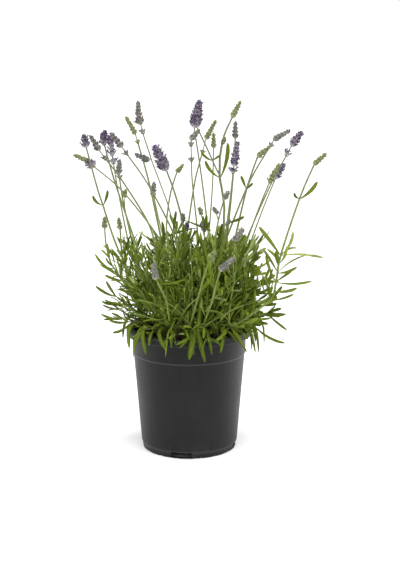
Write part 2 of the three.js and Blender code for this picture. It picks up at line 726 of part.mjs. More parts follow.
function layShoot(branch, end, k) {
  for (const shift of SHIFTS) {
    const path = shootPath(branch, end, shift);
    const balls = pathBalls(path, 0, path.length, SHOOT_RADIUS, branch.owner);
    const free = balls.slice(ROOT_BALLS);
    if (free.some(meetsPot) || !isClear(free, branch.owner)) continue;
    if (!isClear(balls.slice(OWN_ROOT_BALLS), branch.owner, true)) continue;
    placed.push(...balls);
    const shoot = { path, top: path.length, owner: branch.owner, seed: k, radii: SHOOT_RADIUS };
    branch.shoots.push({ ...shoot, turn: 2 * Math.PI * draw(k, 6), joints: [] });
    return true;
  }
  return false;
}

// Leaves

// A leaf is a three-sided blade, flat above and keeled below. It bends once, and its end may sag.
function leafLine(frame, azimuth, length, lean, arch, sag) {
  const out = frame.side.clone().multiplyScalar(Math.cos(azimuth));
  out.addScaledVector(frame.up, Math.sin(azimuth));
  const line = [frame.place];
  const ways = [];
  LEAF_SHARES.forEach((share, i) => {
    const angle = lean + arch * i;
    const way = frame.run.clone().multiplyScalar(Math.cos(angle)).addScaledVector(out, Math.sin(angle));
    way.z -= sag * (LEAF_SAG_START + i);
    way.normalize();
    ways.push(way);
    line.push(line[i].clone().addScaledVector(way, length * share));
  });
  return { line, ways, across: frame.run.clone().cross(out) };
}

// The blade's keel and two edges where it is widest, and its tip.
function leafBlade({ line, ways, across }, width) {
  const way = ways[0].clone().add(ways[1]).normalize();
  const flat = across.clone().addScaledVector(way, -across.dot(way)).normalize();
  const upper = way.clone().cross(flat);
  return [
    line[1].clone().addScaledVector(upper, -LEAF_KEEL),
    line[1].clone().addScaledVector(flat, width / 2),
    line[1].clone().addScaledVector(flat, -width / 2),
    line[2],
  ];
}

// Leaves near the pot's rim hang.
const sagAt = (z) => mix(...LEAF_SAG, Math.min(1, Math.max(0, (z - POT_HEIGHT) / LEAF_SAG_REACH)));

// A leaf that clears the rest, tried at a few azimuths and leans, or null.
function layLeaf(stem, s, azimuth, { length, lean, arch, width }) {
  const frame = stem.path.at(s);
  const radii = [LEAF_BALL_ENDS[0], width * LEAF_BALL_SHARE, LEAF_BALL_ENDS[1]];
  for (let t = 0; t < LEAF_TRIES; t++) {
    const step = Math.ceil(t / 2) * (t % 2 ? 1 : -1);
    const steeper = lean - Math.abs(step) * TRY_LEAN;
    const shorter = length * (1 - TRY_LENGTH * t);
    const sag = sagAt(frame.place.z);
    const leaf = leafLine(frame, azimuth + step * TRY_TURN, shorter, steeper, arch, sag);
    const balls = ballsAlong(leaf.line, radii, stem.owner);
    const body = balls.filter(({ at }) => at.distanceTo(frame.place) > OWN_FOOT);
    if (!balls.some(meetsPot) && isClear(balls, stem.owner) && isClear(body, stem.owner, true)) {
      placed.push(...balls);
      return leafBlade(leaf, width);
    }
  }
  return null;
}

// The azimuths of a stem's sides at its next leafy joint.
function sideAzimuths(stem) {
  const half = Math.PI / STEM_SIDES;
  const turn = stem.turn + half * (stem.joints.length + 1);
  return Array.from({ length: STEM_SIDES }, (_, j) => turn + half * (2 * j + 1));
}

// One leafy joint: a pair of long leaves, and crosswise to it a pair of shorter ones.
function layJoint(stem, s, shape, seed) {
  const blades = sideAzimuths(stem).map((azimuth, j) => {
    const isMain = j % 2 === 0;
    const pick = (name, k) => drawFrom(LEAF_SPREAD[name], seed + 0.37 * j, k);
    return layLeaf(stem, s, azimuth + pick('turn', 0), {
      length: shape.length * pick('length', 1) * (isMain ? 1 : SIDE_LEAF.length),
      lean: (shape.lean + pick('lean', 2) - (isMain ? 0 : SIDE_LEAF.steeper)) * DEG,
      arch: pick('arch', 3) * DEG,
      width: LEAF_WIDTH * pick('width', 4) * (isMain ? 1 : SIDE_LEAF.width),
    });
  });
  stem.joints.push({ s, blades });
}

// A pair of leaves to the left and the right, each from the side that looks most that way.
function layPair(stem, [height, left, right]) {
  let s = STALK_BARE_LENGTH;
  while (stem.path.at(s).place.z < height) s += EDGE;
  const rightward = sideAzimuths(stem).map((azimuth) => Math.cos(azimuth));
  const blades = rightward.map(() => null);
  for (const [leaf, way, azimuth] of [[left, -1, Math.PI], [right, 1, 0]]) {
    const side = rightward.indexOf(Math.max(...rightward.map((share) => share * way)) * way);
    const [length, lean, arch] = leaf;
    const width = mix(...PAIR_WIDTH, Math.min(1, length / PAIR_LONGEST));
    blades[side] = layLeaf(stem, s, azimuth, { length, lean: lean * DEG, arch: arch * DEG, width });
  }
  stem.joints.push({ s, blades });
}

function leafShoot(shoot) {
  const { top, seed } = shoot;
  const count = Math.round((top * (1 - SHOOT_BARE_SHARE)) / LEAF_SPACING);
  for (let i = 0; i < count; i++) {
    const below = (count - 1 - i) * LEAF_SPACING * drawFrom(SPACING_SPREAD, seed, 30 + i);
    const share = (i + 1) / count;
    const length = mix(LEAF_LENGTH[1], LEAF_LENGTH[0], share) * (i === count - 1 ? TOP_LEAF_SHARE : 1);
    const shape = { length, lean: mix(...SHOOT_LEAN_DEG, share) };
    layJoint(shoot, top - SHOOT_BARE_TIP - below, shape, seed + 0.11 * i);
  }
}

function leafStalk(stalk, seed) {
  let s = STALK_BARE_LENGTH + STALK_BARE_SPREAD * draw(seed, 1);
  while (!stalk.from && stalk.path.at(s).place.z < STALK_LEAFY_HEIGHT && s < stalk.top - LEAF_SPACING) {
    const shape = { length: mix(...LEAF_LENGTH, draw(seed, 2)), lean: STALK_LEAN_DEG };
    layJoint(stalk, s, shape, seed + s);
    s += STALK_LEAF_SPACING;
  }
  for (const pair of stalk.pairs || []) layPair(stalk, pair);
}

// The plant

const basePath = (root) => uprightPath(root, SOIL_TOP - HOLE_DEPTH, SOIL_TOP + BASE_HEIGHT);

function stemSolid(branch) {
  const base = basePath(branch.root);
  const parts = [base.tube(base.length, [BASE_RADIUS, STALK_RADIUS[0]], BASE_SIDES)];
  for (const stem of branch.stalks.concat(branch.shoots)) parts.push(leafyTube(stem));
  return wasm.Manifold.union(parts.map(toManifold)).simplify(SLIVER);
}

function addPlant() {
  const branches = BRANCHES.map((row, i) => ({ root: row.root, rows: row.stalks, owner: i, shoots: [] }));
  for (const branch of branches) {
    const base = basePath(branch.root);
    placed.push(...pathBalls(base, HOLE_DEPTH, base.length, [BASE_RADIUS, BASE_RADIUS], branch.owner));
  }
  for (const branch of branches) {
    branch.stalks = branch.rows.map((spec) => layStalk(branch, spec, branch.owner));
  }
  shootEnds().forEach((end, k) => branchesNear(branches, end).some((branch) => layShoot(branch, end, k)));
  for (const branch of branches) {
    for (const shoot of branch.shoots) leafShoot(shoot);
    branch.stalks.forEach((stalk, k) => leafStalk(stalk, 100 + 7 * branch.owner + k));
  }
  let headNumber = 0;
  for (const branch of branches) {
    const number = String(branch.owner + 1).padStart(2, '0');
    addNode(`leafy_stem_${number}`, toGeometry(stemSolid(branch)), MATERIALS.leaf);
    for (const stalk of branch.stalks) {
      headNumber += 1;
      addHead(`flower_head_${String(headNumber).padStart(2, '0')}`, stalk);
    }
  }
}

addPot();
addSoil();
addPlant();

export default lavender;
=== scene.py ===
"""Potted lavender: a bushy plant, part in flower and part in bud, in a black plastic nursery pot.

Lengths are metres, +Z is up, and the plant's front faces -Y. The stems, leaves and flower heads are read
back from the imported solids: a leaf is a tip with three points round it, a stalk is a chain of four-sided
rings, and a head is a chain of five-sided rings. Geometry Nodes then sweep and scatter the fine shapes there.
"""
import json
import math
import random

import bmesh
import bpy
from mathutils import Matrix, Vector
from mathutils.bvhtree import BVHTree


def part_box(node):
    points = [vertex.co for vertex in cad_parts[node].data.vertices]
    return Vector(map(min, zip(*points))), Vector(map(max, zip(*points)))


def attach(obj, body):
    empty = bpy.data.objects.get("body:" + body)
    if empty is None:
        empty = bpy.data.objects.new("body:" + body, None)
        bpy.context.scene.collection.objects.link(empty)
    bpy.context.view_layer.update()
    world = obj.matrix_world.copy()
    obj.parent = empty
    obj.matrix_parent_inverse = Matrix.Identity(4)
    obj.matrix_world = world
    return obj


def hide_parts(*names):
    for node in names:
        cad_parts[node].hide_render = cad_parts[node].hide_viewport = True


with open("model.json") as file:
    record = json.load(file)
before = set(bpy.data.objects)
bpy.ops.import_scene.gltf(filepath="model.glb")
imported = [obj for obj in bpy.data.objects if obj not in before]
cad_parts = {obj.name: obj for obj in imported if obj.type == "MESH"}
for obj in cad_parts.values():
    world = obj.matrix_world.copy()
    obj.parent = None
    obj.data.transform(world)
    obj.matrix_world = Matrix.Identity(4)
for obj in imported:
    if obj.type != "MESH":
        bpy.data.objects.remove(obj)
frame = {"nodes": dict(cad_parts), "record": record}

MM = 0.001
UP = Vector((0, 0, 1))

# The camera stands where it sees the plant as the photograph does
CAMERA_PLACE = (14.6 * MM, -1600 * MM, 544 * MM)
CAMERA_PITCH = math.radians(11.36)
FOCAL_PIXELS = 1218
PHOTO_WIDTH = 400
PHOTO_HEIGHT = 570
SENSOR = 36

# Light
SKY_GLOW = 0.5
SUN_STRENGTH = 3.4
SUN_WIDTH = math.radians(60)
SUN_PLACE = (0.1, -1.1, 3)
# The strip lights: the side and power of each, and where the one at the right stands
SIDE_STRIPS = ((-1, 8.6), (1, 13.8))
STRIP_PLACE = (1.3, 0.5, 0.55)
STRIP_AIM = (0, 0, 0.2)
STRIP_WIDTH = 0.5
STRIP_HEIGHT = 1.4
FLOOR_RADIUS = 60
FLOOR_TONE = (0.9, 0.9, 0.9)

# Pot
POT_SECTORS = 180
POT_EDGE = 0.9 * MM
POT_CLEAN_AZIMUTH = 40
SLOTS = 4
SLOT_WIDTH = 28 * MM
SLOT_HEIGHT = 8.5 * MM
SLOT_REACH = 20 * MM
FIRST_SLOT = math.radians(-99)
SLOT_SILL = 1.2 * MM
NICKS = 25
NICK_DEPTH = 2.6 * MM
NICK_WIDTH = 0.03
NICKED_HEIGHT = 4 * MM
NICKED_REACH = 6 * MM
SHARP_ANGLE = math.radians(40)
# How deep the lip's rolled part is, and how far it stands in over the collar
LIP_DEPTH = 12 * MM
LIP_INSET = 5 * MM

# Soil
SOIL_RINGS = 40
SOIL_SECTORS = 110
SOIL_WAVES = 14
LUMP_HEIGHT = 0.8 * MM
LUMP_RISE = 2 * MM
# The solid's top is taken for a hole round a stem where it is this deep, and the fine top fills it this far
HOLE_DEPTH = 9 * MM
HOLE_FILL = 4 * MM
CRUMBS = 3200
CRUMB_RADIUS = 1 * MM
CRUMB_LEVEL = 0.6
CRUMB_SIZES = ((0.35, 0.3, 0.25), (2.2, 1.4, 1.1))

# Seeds of the random draws. Each leafy stem is seeded with its number
CRUMB_SEEDS = {"place": 4, "tint": 5, "size": 6, "spin": 7}
SOIL_SEED = 11
RIM_SEED = 17
HEAD_SEED = 100
YOUNG_SEED = 200

# Leaves: where a blade's points lie along it, its half width there, and its section as (up, across)
LEAF_STOPS = (0, 0.14, 0.34, 0.55, 0.75, 0.9, 0.97, 1)
LEAF_OUTLINE = (
    (0, 0.28), (0.14, 0.46), (0.4, 0.84), (0.62, 1), (0.8, 0.96), (0.9, 0.8), (0.97, 0.48), (1, 0.12),
)
LEAF_SECTION = ((-0.16, -1), (0.14, -0.6), (-0.02, 0), (0.14, 0.6), (-0.16, 1), (-0.36, 0))
LEAF_WAIST = 0.56
SMALLEST_LEAF = 3 * MM
RIM_GAP = 1.5 * MM
FACING_HEIGHT = 300 * MM
FRONTWARD = Vector((0, -1, 0.2))
FRONT_TURN = 0.7
HIGH_FACING = Vector((0, -1.6, 0.3))

# A leaf's tone runs from 0, dark, to 1, light. It rises with the height over a level and with the distance
# from the axis, by these shares, as painted shade low and deep in the bush and painted light on its top and
# outside, and varies at random, less so on the shoots that lean far out
TONE_LEAST = 0.01
TONE_RISE = 0.44
TONE_FOOT = 0.16
TONE_HEIGHT = 0.14
TONE_OUTWARD = 0.2
TONE_REACH = 0.11
TONE_ALIKE = 0.9
TONE_SPREAD = 0.36
# The tone and its spread for leaves above FACING_HEIGHT and over the rim, and the spread for single leaves
HIGH_TONE = (0.28, 0.08)
RIM_TONE = (0.24, 0.18)
SINGLE_SPREAD = 0.12

# Leaves in the bush are finer towards its left side: how much of their width and length is left there, and
# where across the bush they grow to full size
FINE_WIDTH = 0.58
FINE_LENGTH = 0.74
FINE_FROM = -20 * MM
FINE_TO = 60 * MM

# Past this far from the axis and below this height, leaves stand singly
SPARSE_OUT = 88 * MM
SPARSE_TOP = 235 * MM
SPARSE_SHARE = 0.45

# Foliage that the solids have no room for: pairs of leaves along every stem, and young shoots
NODE_SPACING = 11.5 * MM
LEAFY_TOP = 268 * MM
# A leaf of a pair: its length in millimetres at the stem's top and what it gains further down, and its half
# width. Then the ranges by which both vary, and the range of its arch in degrees
PAIR_LENGTH = 13
PAIR_GROWTH = 20
PAIR_AGEING = 55 * MM
PAIR_HALF = 2.1
PAIR_LENGTHS = (0.65, 1.3)
PAIR_HALVES = (0.7, 1.2)
PAIR_ARCHES = (-40, 38)
# A small leaf in an axil: its length as a share of the big leaf's, and its lean and arch in degrees
AXIL_LENGTHS = (0.3, 0.7)
AXIL_LEANS = (8, 46)
AXIL_ARCHES = (-30, 34)
# Young shoots: how far each turns from its base's azimuth, how far out it ends as a share of the base's
# distance and in millimetres more, and its height as a share of the bush's
YOUNG_TURN = 0.7
YOUNG_OUTS = (0.9, 1.8)
YOUNG_ASIDE = (4, 26)
YOUNG_HEIGHTS = (0.6, 0.98)
YOUNG_SHOOTS = 4
BUSH_RADIUS = 112 * MM
BUSH_SHOULDER = 190 * MM
BUSH_TOP = 296 * MM

# Stems
STALK_SLIMMING = (0.76, 1.0)
STEM_TOP_TURN = math.radians(69)
TRACK_STEP = 4 * MM
TRACK_REACH = 2.6 * MM
TRACK_TURNS = (0.25, 0.5, 0.75)
RING_SPACING = 6 * MM
BASE_REACH = 90 * MM
STEM_SIDES = 8
STEM_STEP = 3.5 * MM
# The woody base: its girth from the foot up, its height, and how far up the stems and young shoots leave it
BASE_GIRTHS = (2.9 * MM, 2.4 * MM, 1.9 * MM)
BASE_HEIGHT = 38 * MM
STEM_FOOT = 20 * MM
YOUNG_FOOT = 24 * MM

# Single leaves that stand out in the photograph: pixels of the tip and of where it grows, how far the
# leaf's middle stands above the straight line between them, as a share of its length, and its half width.
# The first have a light tone and the dark ones a dark tone
EDGE_LEAVES = (
    ((95, 254), (111, 270), -0.2, 1.8), ((95.5, 286), (117, 298), -0.08, 2.0),
    ((105, 275), (114, 285), -0.06, 2.0), ((106, 281), (117, 297), -0.06, 2.0),
    ((101.5, 301), (120.5, 303.5), -0.17, 1.7), ((101, 314), (125, 316.5), -0.1, 1.8),
    ((109.5, 320.5), (131, 322), -0.1, 1.8), ((112.5, 332.5), (131, 326), -0.14, 2.0),
    ((312, 281), (292, 287), -0.06, 1.9), ((297, 267), (283, 275), -0.08, 2.2),
    ((297, 288), (284, 296), -0.08, 2.3), ((286, 314), (263, 318), -0.05, 2.2),
    ((287, 330), (270, 326), -0.02, 1.9), ((285, 343), (271, 338), -0.1, 2.0),
    ((201, 152), (215, 158), -0.1, 1.8), ((220, 155), (215, 158), 0, 1.7),
    ((197, 344.5), (199.5, 305), 0.1, 4.0), ((276, 251), (279, 268), 0.02, 3.2),
    ((213, 277.5), (201, 293), 0.06, 2.9), ((244.5, 285), (232, 301), 0.02, 1.9),
    ((186, 279), (158, 283), -0.06, 1.2), ((222, 314), (228, 322), -0.05, 2.6),
)
DARK_LEAVES = (
    ((167, 236.5), (198, 227), 0.04, 2.0), ((176, 211), (175, 231), 0.02, 2.0),
    ((244.5, 216.5), (230, 223.5), -0.04, 2.1), ((211, 231), (187, 217), 0.02, 1.4),
)
LIGHT_TONE = 0.3
DARK_TONE = 0.04
# Leaves that hang over the rim's sides and back, as azimuths, and how low their tips hang
BACK_LEAVES = (-20, 12, 35, 61, 78, 104, 121, 150, 176, 202)
BACK_DROP = (6 * MM, 26 * MM)
# Leaves that hang over the front of the pot's rim: pixels of the tip and of where it crosses the rim, and
# the half width
HANGING_LEAVES = (
    ((133.5, 357), (139, 342), 1.9), ((135, 347), (142, 333), 2.6), ((146, 354), (143, 336), 3.1),
    ((149, 346), (151, 334), 2.2), ((165.6, 350), (159, 337), 2.9), ((165.6, 357), (168, 348), 1.3),
    ((171.4, 348), (172, 340), 1.6), ((175.4, 345), (190, 339), 2.5), ((179.5, 348), (188, 342), 1.9),
    ((189, 359.8), (194, 342), 4.2), ((194, 355), (191, 345), 1.5), ((205, 362), (199, 346), 3.6),
    ((212, 355), (208, 338), 2.6), ((220.5, 353), (223, 339), 2.4), ((213.8, 342), (225, 333), 2.6),
    ((247, 352.5), (234, 336), 2.6), ((237, 343), (230, 334), 2.2), ((255.4, 353), (248, 341), 2.2),
    ((258.5, 353), (254, 341), 2.3), ((264, 344), (261, 334), 1.6), ((188.4, 339), (186.5, 331), 1.9),
)
HANGING_STAND_OFF = 5 * MM
HANGING_RISE = 8 * MM
# Pixels of the small young heads that the solids leave out, and the kind of each. Their stalks grow from
# stems within this many pixels of them and at least this many below, and these are their whorls' radii
YOUNG_HEADS = (
    ((125.6, 189), "green_bud"), ((225, 137), "green_bud"), ((212.7, 207), "faded_flower"),
    ((199.4, 207), "green_bud"), ((183, 213), "faded_flower"), ((187, 224), "violet_flower"),
    ((201, 223), "violet_flower"), ((243, 259), "green_bud"), ((230, 219), "faded_flower"),
)
YOUNG_REACH = 45
YOUNG_DROP = 12
YOUNG_WHORLS = (2.4 * MM, 2.8 * MM, 2.2 * MM)

# Stalks in front of the bush, which leaves keep out of the way of, and by how many pixels
FRONT_STALKS = ("leafy_stem_19", "leafy_stem_20", "leafy_stem_22")
FRONT_ROOM = 3
# Pixels down the leafy shoots that stand in front of the bush, and how far in front of the axis they do
FRONT_SHOOTS = (
    ((237, 252), (235, 276), (231, 298), (229, 322)),
    ((189.5, 240), (191.8, 272), (192.5, 296), (194, 318)),
)
SHOOT_DEPTH = (46 * MM, 66 * MM)
SHOOT_GIRTH = (0.8 * MM, 1.35 * MM)

# Flower heads: calyces in a whorl, how far they reach past the solid's own, and one calyx's half width
HEADS = {
    "violet_flower": (8, 1.12, 1.4 * MM),
    "faded_flower": (7, 1.08, 1.35 * MM),
    "green_bud": (7, 1.12, 1.4 * MM),
}
# A whorl's rows of calyces: how far out they reach, how high they end and how deep they start, as shares
CALYX_ROWS = ((1.0, 0.2, 1.15), (0.5, 0.6, 0.8))
BIG_ROWS = ((1.22, 0.1, 0.9), (1.0, 0.9, 0.8), (0.45, 1.35, 0.7))
LONE_ROWS = ((1.35, 0.55, 0.7), (0.4, 0.6, 0.7))
CALYX_DROP = (1.2 * MM, 0.72)
LONE_WHORL = 1.3 * MM
BIG_WHORL = 5 * MM
OPEN_FLOWERS = 0.42
WHORL_TURN = 0.45
# How much of the way to a head's fullest whorl the others widen, the calyces of its tuft and how wide they
# spread as a share of that whorl, and how much paler some heads are than the rest, by their numbers
BLUNTNESS = 0.38
TUFT_CALYCES = 6
TUFT_SPREAD = 0.34
PALENESS = 0.36
PALE_HEADS = (18, 23, 24, 30, 31, 32)

# A calyx and a bract, as the half width along each
CALYX_SIDES = 6
CALYX_RINGS = 7
CALYX_OUTLINE = (
    (0, 0.3), (0.17, 0.78), (0.36, 1), (0.62, 0.9), (0.76, 0.82), (0.84, 0.66), (0.93, 0.6), (1, 0.12),
)
BRACT_OUTLINE = ((0, 0.5), (0.4, 1), (0.75, 0.6), (1, 0.08))
# An open flower: how large each lobe is, and its rows of points as (share, radius, height, half angle)
LOBES = (1.25, 0.9, 0.85, 0.9, 1.25)
LOBE_ROWS = ((0.0, 0.45, -1.2, 0.62), (0.0, 0.55, 0.2, 0.62), (0.45, 1.35, 0.75, 0.5), (1.0, 2.1, 0.55, 0.16))
LOBE_CREASE = 0.12
TUBE_RADIUS = 0.5
PETAL_THICKNESS = 0.12 * MM

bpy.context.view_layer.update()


# Objects

def place_object(name, data):
    """A new object, in the scene."""
    made = bpy.data.objects.new(name, data)
    bpy.context.scene.collection.objects.link(made)
    return made


def mesh_of(shape, name):
    """A mesh with the faces of a shape, which is then freed."""
    mesh = bpy.data.meshes.new(name)
    shape.to_mesh(mesh)
    shape.free()
    return mesh


def applied(made):
    """The mesh of an object with its modifiers applied. The object is then removed."""
    depsgraph = bpy.context.evaluated_depsgraph_get()
    mesh = bpy.data.meshes.new_from_object(made.evaluated_get(depsgraph))
    bpy.data.objects.remove(made)
    return mesh


def discard(*objects):
    for made in objects:
        bpy.data.objects.remove(made)


# Node trees

class Wire:
    """An output of a node, so that maths on values reads as maths."""

    def __init__(self, tree, socket):
        self.tree = tree
        self.socket = socket

    def maths(self, operation, *values):
        return node(self.tree, "ShaderNodeMath", {"operation": operation}, dict(enumerate(values)))

    def __add__(self, other):
        return self.maths("ADD", self, other)

    def __sub__(self, other):
        return self.maths("SUBTRACT", self, other)

    def __rsub__(self, other):
        return self.maths("SUBTRACT", other, self)

    def __mul__(self, other):
        return self.maths("MULTIPLY", self, other)

    __radd__ = __add__
    __rmul__ = __mul__


def socket_of(sockets, key):
    """A socket by its number, its identifier or its name."""
    if isinstance(key, int):
        return sockets[key]
    for socket in sockets:
        if socket.identifier == key:
            return socket
    return next(socket for socket in sockets if socket.name == key and socket.enabled)


def node(tree, kind, settings=None, inputs=None, output=0):
    """Any node: its settings first, then the values or links of its sockets."""
    made = tree.nodes.new(kind)
    for name, value in (settings or {}).items():
        if name == "stops":
            set_stops(made.color_ramp, value)
        elif name == "curve":
            set_curve(made.mapping, value)
        else:
            setattr(made, name, value)
    for key, value in (inputs or {}).items():
        if value is None:
            continue
        socket = socket_of(made.inputs, key)
        if isinstance(value, Wire):
            tree.links.new(value.socket, socket)
        else:
            socket.default_value = value
    if not made.outputs:
        return made
    return Wire(tree, socket_of(made.outputs, output))


def set_stops(ramp, stops):
    """A ramp's stops, as (place, colour)."""
    while len(ramp.elements) < len(stops):
        ramp.elements.new(0.5)
    for element, (place, colour) in zip(ramp.elements, stops):
        element.position = place
        element.color = (*colour, 1)


def set_curve(mapping, points):
    """A float curve through points from 0 to 1."""
    curve = mapping.curves[0]
    while len(curve.points) < len(points):
        curve.points.new(0.5, 0.5)
    for point, place in zip(curve.points, points):
        point.location = place
    mapping.update()


def value_of(tree, name, kind="FLOAT"):
    return node(tree, "GeometryNodeInputNamedAttribute", {"data_type": kind}, {"Name": name})


def geometry_tree(name, sizes):
    """A Geometry Nodes tree with named number and object inputs, and a wire for each of them."""
    tree = bpy.data.node_groups.new(name, "GeometryNodeTree")
    tree.interface.new_socket("Geometry", in_out="OUTPUT", socket_type="NodeSocketGeometry")
    kinds = {float: "NodeSocketFloat", int: "NodeSocketInt"}
    for label, standard in sizes.items():
        kind = kinds.get(type(standard), "NodeSocketObject")
        made = tree.interface.new_socket(label, in_out="INPUT", socket_type=kind)
        if standard is not None:
            made.default_value = standard
    entry = tree.nodes.new("NodeGroupInput")
    return tree, {label: Wire(tree, socket_of(entry.outputs, label)) for label in sizes}


def end_tree(tree, *parts):
    """Joins the parts, and ends the tree with them."""
    joined = node(tree, "GeometryNodeJoinGeometry")
    for part in parts:
        tree.links.new(part.socket, joined.socket.node.inputs[0])
    node(tree, "NodeGroupOutput", None, {0: joined})


def shape_of(tree, wire):
    return node(tree, "GeometryNodeObjectInfo", None, {"Object": wire}, "Geometry")


def line_of(tree, wire):
    return node(tree, "GeometryNodeMeshToCurve", None, {"Mesh": shape_of(tree, wire)})


def circle(tree, sides):
    return node(tree, "GeometryNodeCurvePrimitiveCircle", None, {"Resolution": sides, "Radius": 1.0})


def stored(tree, geometry, name, value):
    inputs = {"Geometry": geometry, "Name": name, "Value": value}
    return node(tree, "GeometryNodeStoreNamedAttribute", None, inputs)


def width_at(tree, outline):
    """The width that an outline has at the value named along."""
    return node(tree, "ShaderNodeFloatCurve", {"curve": outline}, {"Value": value_of(tree, "along")})


def swept(tree, curve, profile, scale):
    """A profile swept along a curve, with closed ends."""
    return node(tree, "GeometryNodeCurveToMesh", None, {
        "Curve": curve, "Profile Curve": profile, "Scale": scale, "Fill Caps": True,
    })


def swept_blades(tree, lines, section, outline):
    """Blades swept along lines, each facing the way that its points say."""
    blade = {"Curve": line_of(tree, lines), "Normal": value_of(tree, "facing", "FLOAT_VECTOR")}
    faced = node(tree, "GeometryNodeSetCurveNormal", {"mode": "FREE"}, blade)
    return swept(tree, faced, line_of(tree, section), width_at(tree, outline) * value_of(tree, "half"))


def set_out(tree, points, shape, rotation, scale):
    """Real copies of a shape, one at each point."""
    laid = node(tree, "GeometryNodeInstanceOnPoints", None, {
        "Points": points, "Instance": shape, "Rotation": rotation, "Scale": scale,
    })
    return node(tree, "GeometryNodeRealizeInstances", None, {"Geometry": laid})


def coated(tree, part, finish):
    return node(tree, "GeometryNodeSetMaterial", None, {"Geometry": part, "Material": MATERIALS[finish]})


def smooth(tree, part):
    return node(tree, "GeometryNodeSetShadeSmooth", None, {"Geometry": part})


def grow(tree, **inputs):
    """The plain mesh that a tree makes with these inputs. An underscore in a name stands for a blank."""
    host = place_object("host", bpy.data.meshes.new("host"))
    modifier = host.modifiers.new("growth", "NODES")
    modifier.node_group = tree
    identifiers = {item.name: item.identifier for item in tree.interface.items_tree if item.in_out == "INPUT"}
    for label, value in inputs.items():
        modifier[identifiers[label.replace("_", " ")]] = value
    return applied(host)


# Materials

def material(name, roughness=0.5):
    made = bpy.data.materials.new(name)
    made.use_nodes = True
    shader = made.node_tree.nodes["Principled BSDF"]
    shader.inputs["Roughness"].default_value = roughness
    return made, made.node_tree, shader


def drive(tree, shader, **links):
    """Feeds the shader's sockets. An underscore stands for a blank in a socket's name."""
    for name, wire in links.items():
        tree.links.new(wire.socket, shader.inputs[name.replace("_", " ")])


def here(tree):
    return node(tree, "ShaderNodeTexCoord", None, None, "Object")


def height(tree):
    return node(tree, "ShaderNodeSeparateXYZ", None, {0: here(tree)}, "Z")


def noise(tree, scale, detail=3, where=None):
    inputs = {"Vector": where or here(tree), "Scale": scale, "Detail": detail}
    return node(tree, "ShaderNodeTexNoise", {"noise_dimensions": "3D"}, inputs)


def bands(tree, value, scale, distortion=0.0):
    """Soft stripes across the way in which a value runs."""
    run = node(tree, "ShaderNodeCombineXYZ", None, {0: value})
    settings = {"wave_type": "BANDS", "bands_direction": "X"}
    inputs = {"Vector": run, "Scale": scale, "Distortion": distortion}
    return node(tree, "ShaderNodeTexWave", settings, inputs, "Fac")


def ramp(tree, factor, *stops):
    return node(tree, "ShaderNodeValToRGB", {"stops": stops}, {"Fac": factor})


def blend(tree, factor, first, second):
    """From the first colour to the second."""
    a = (*first, 1) if isinstance(first, tuple) else first
    b = (*second, 1) if isinstance(second, tuple) else second
    inputs = {"Factor_Float": factor, "A_Color": a, "B_Color": b}
    return node(tree, "ShaderNodeMix", {"data_type": "RGBA"}, inputs, "Result_Color")


def between(tree, value, low, high):
    """0 below low, 1 above high, and a straight rise between them."""
    inputs = {"Value": value, "From Min": low, "From Max": high}
    return node(tree, "ShaderNodeMapRange", {"clamp": True}, inputs)


def bump(tree, relief, depth):
    return node(tree, "ShaderNodeBump", None, {"Height": relief, "Distance": depth})


def attribute(tree, name):
    return node(tree, "ShaderNodeAttribute", {"attribute_name": name}, None, "Fac")


def pot_plastic():
    """Black polypropylene: a fine moulded grain, faint draw streaks, dust and dried splashes of soil, and a
    painted highlight along the rounded edges.
    """
    made, tree, shader = material("black_pot_plastic")
    stretched = node(tree, "ShaderNodeMapping", None, {"Vector": here(tree), "Scale": (1, 1, 0.12)})
    streaks = noise(tree, 90, 4, stretched)
    clouds = noise(tree, 22, 5)
    grain = noise(tree, 2600, 2)
    specks = between(tree, noise(tree, 420, 3), 0.66, 0.74)
    dusty = between(tree, clouds, 0.5, 0.75) * 0.5
    low_dust = (1 - between(tree, height(tree), 0.002, 0.03)) * between(tree, noise(tree, 60, 4), 0.35, 0.7)
    streaked = between(tree, streaks, 0.3, 0.7)
    plastic = blend(tree, streaked, (0.0055, 0.0055, 0.0062), (0.0082, 0.0082, 0.0092))
    dusted = blend(tree, dusty * 0.4 + low_dust * 0.5, plastic, (0.03, 0.028, 0.027))
    splashed = blend(tree, specks * 0.3 * between(tree, clouds, 0.45, 0.6), dusted, (0.1, 0.085, 0.07))
    # Painted highlight: the rounded edges of the lip, collar and foot are lightened as if they catch the
    # light.
    colour = blend(tree, attribute(tree, "worn") * 0.5, splashed, (0.09, 0.09, 0.095))
    rough = 0.4 + between(tree, clouds, 0.3, 0.75) * 0.12 + low_dust * 0.15 + (grain - 0.5) * 0.08
    drive(tree, shader, Base_Color=colour, Roughness=rough, Normal=bump(tree, grain + streaks * 2, 0.00012))
    shader.inputs["IOR"].default_value = 1.49
    shader.inputs["Specular IOR Level"].default_value = 0.21
    return made


def soil_mix():
    """Damp peat with paler fibres and crumbs."""
    made, tree, shader = material("peat_soil", 0.95)
    clods = noise(tree, 120, 6)
    fibres = noise(tree, 700, 4)
    dark = ramp(
        tree, clods, (0.3, (0.012, 0.008, 0.006)), (0.55, (0.034, 0.022, 0.014)),
        (0.75, (0.075, 0.05, 0.032)),
    )
    colour = blend(tree, between(tree, fibres, 0.62, 0.72) * 0.7, dark, (0.16, 0.11, 0.07))
    drive(tree, shader, Base_Color=colour, Normal=bump(tree, clods + fibres * 0.4, 0.0012))
    return made


def crumb_mix():
    """Loose crumbs: mostly peat, with some bark and a little pale grit."""
    made, tree, shader = material("soil_crumbs", 0.95)
    pick = attribute(tree, "tint")
    tone = ramp(
        tree, pick, (0.0, (0.014, 0.009, 0.006)), (0.5, (0.035, 0.022, 0.014)),
        (0.82, (0.085, 0.052, 0.03)), (0.93, (0.13, 0.085, 0.05)), (0.97, (0.35, 0.32, 0.28)),
    )
    grain = noise(tree, 900, 4)
    colour = blend(tree, grain * 0.4, tone, (0.01, 0.007, 0.005))
    drive(tree, shader, Base_Color=colour, Normal=bump(tree, grain, 0.0006))
    return made


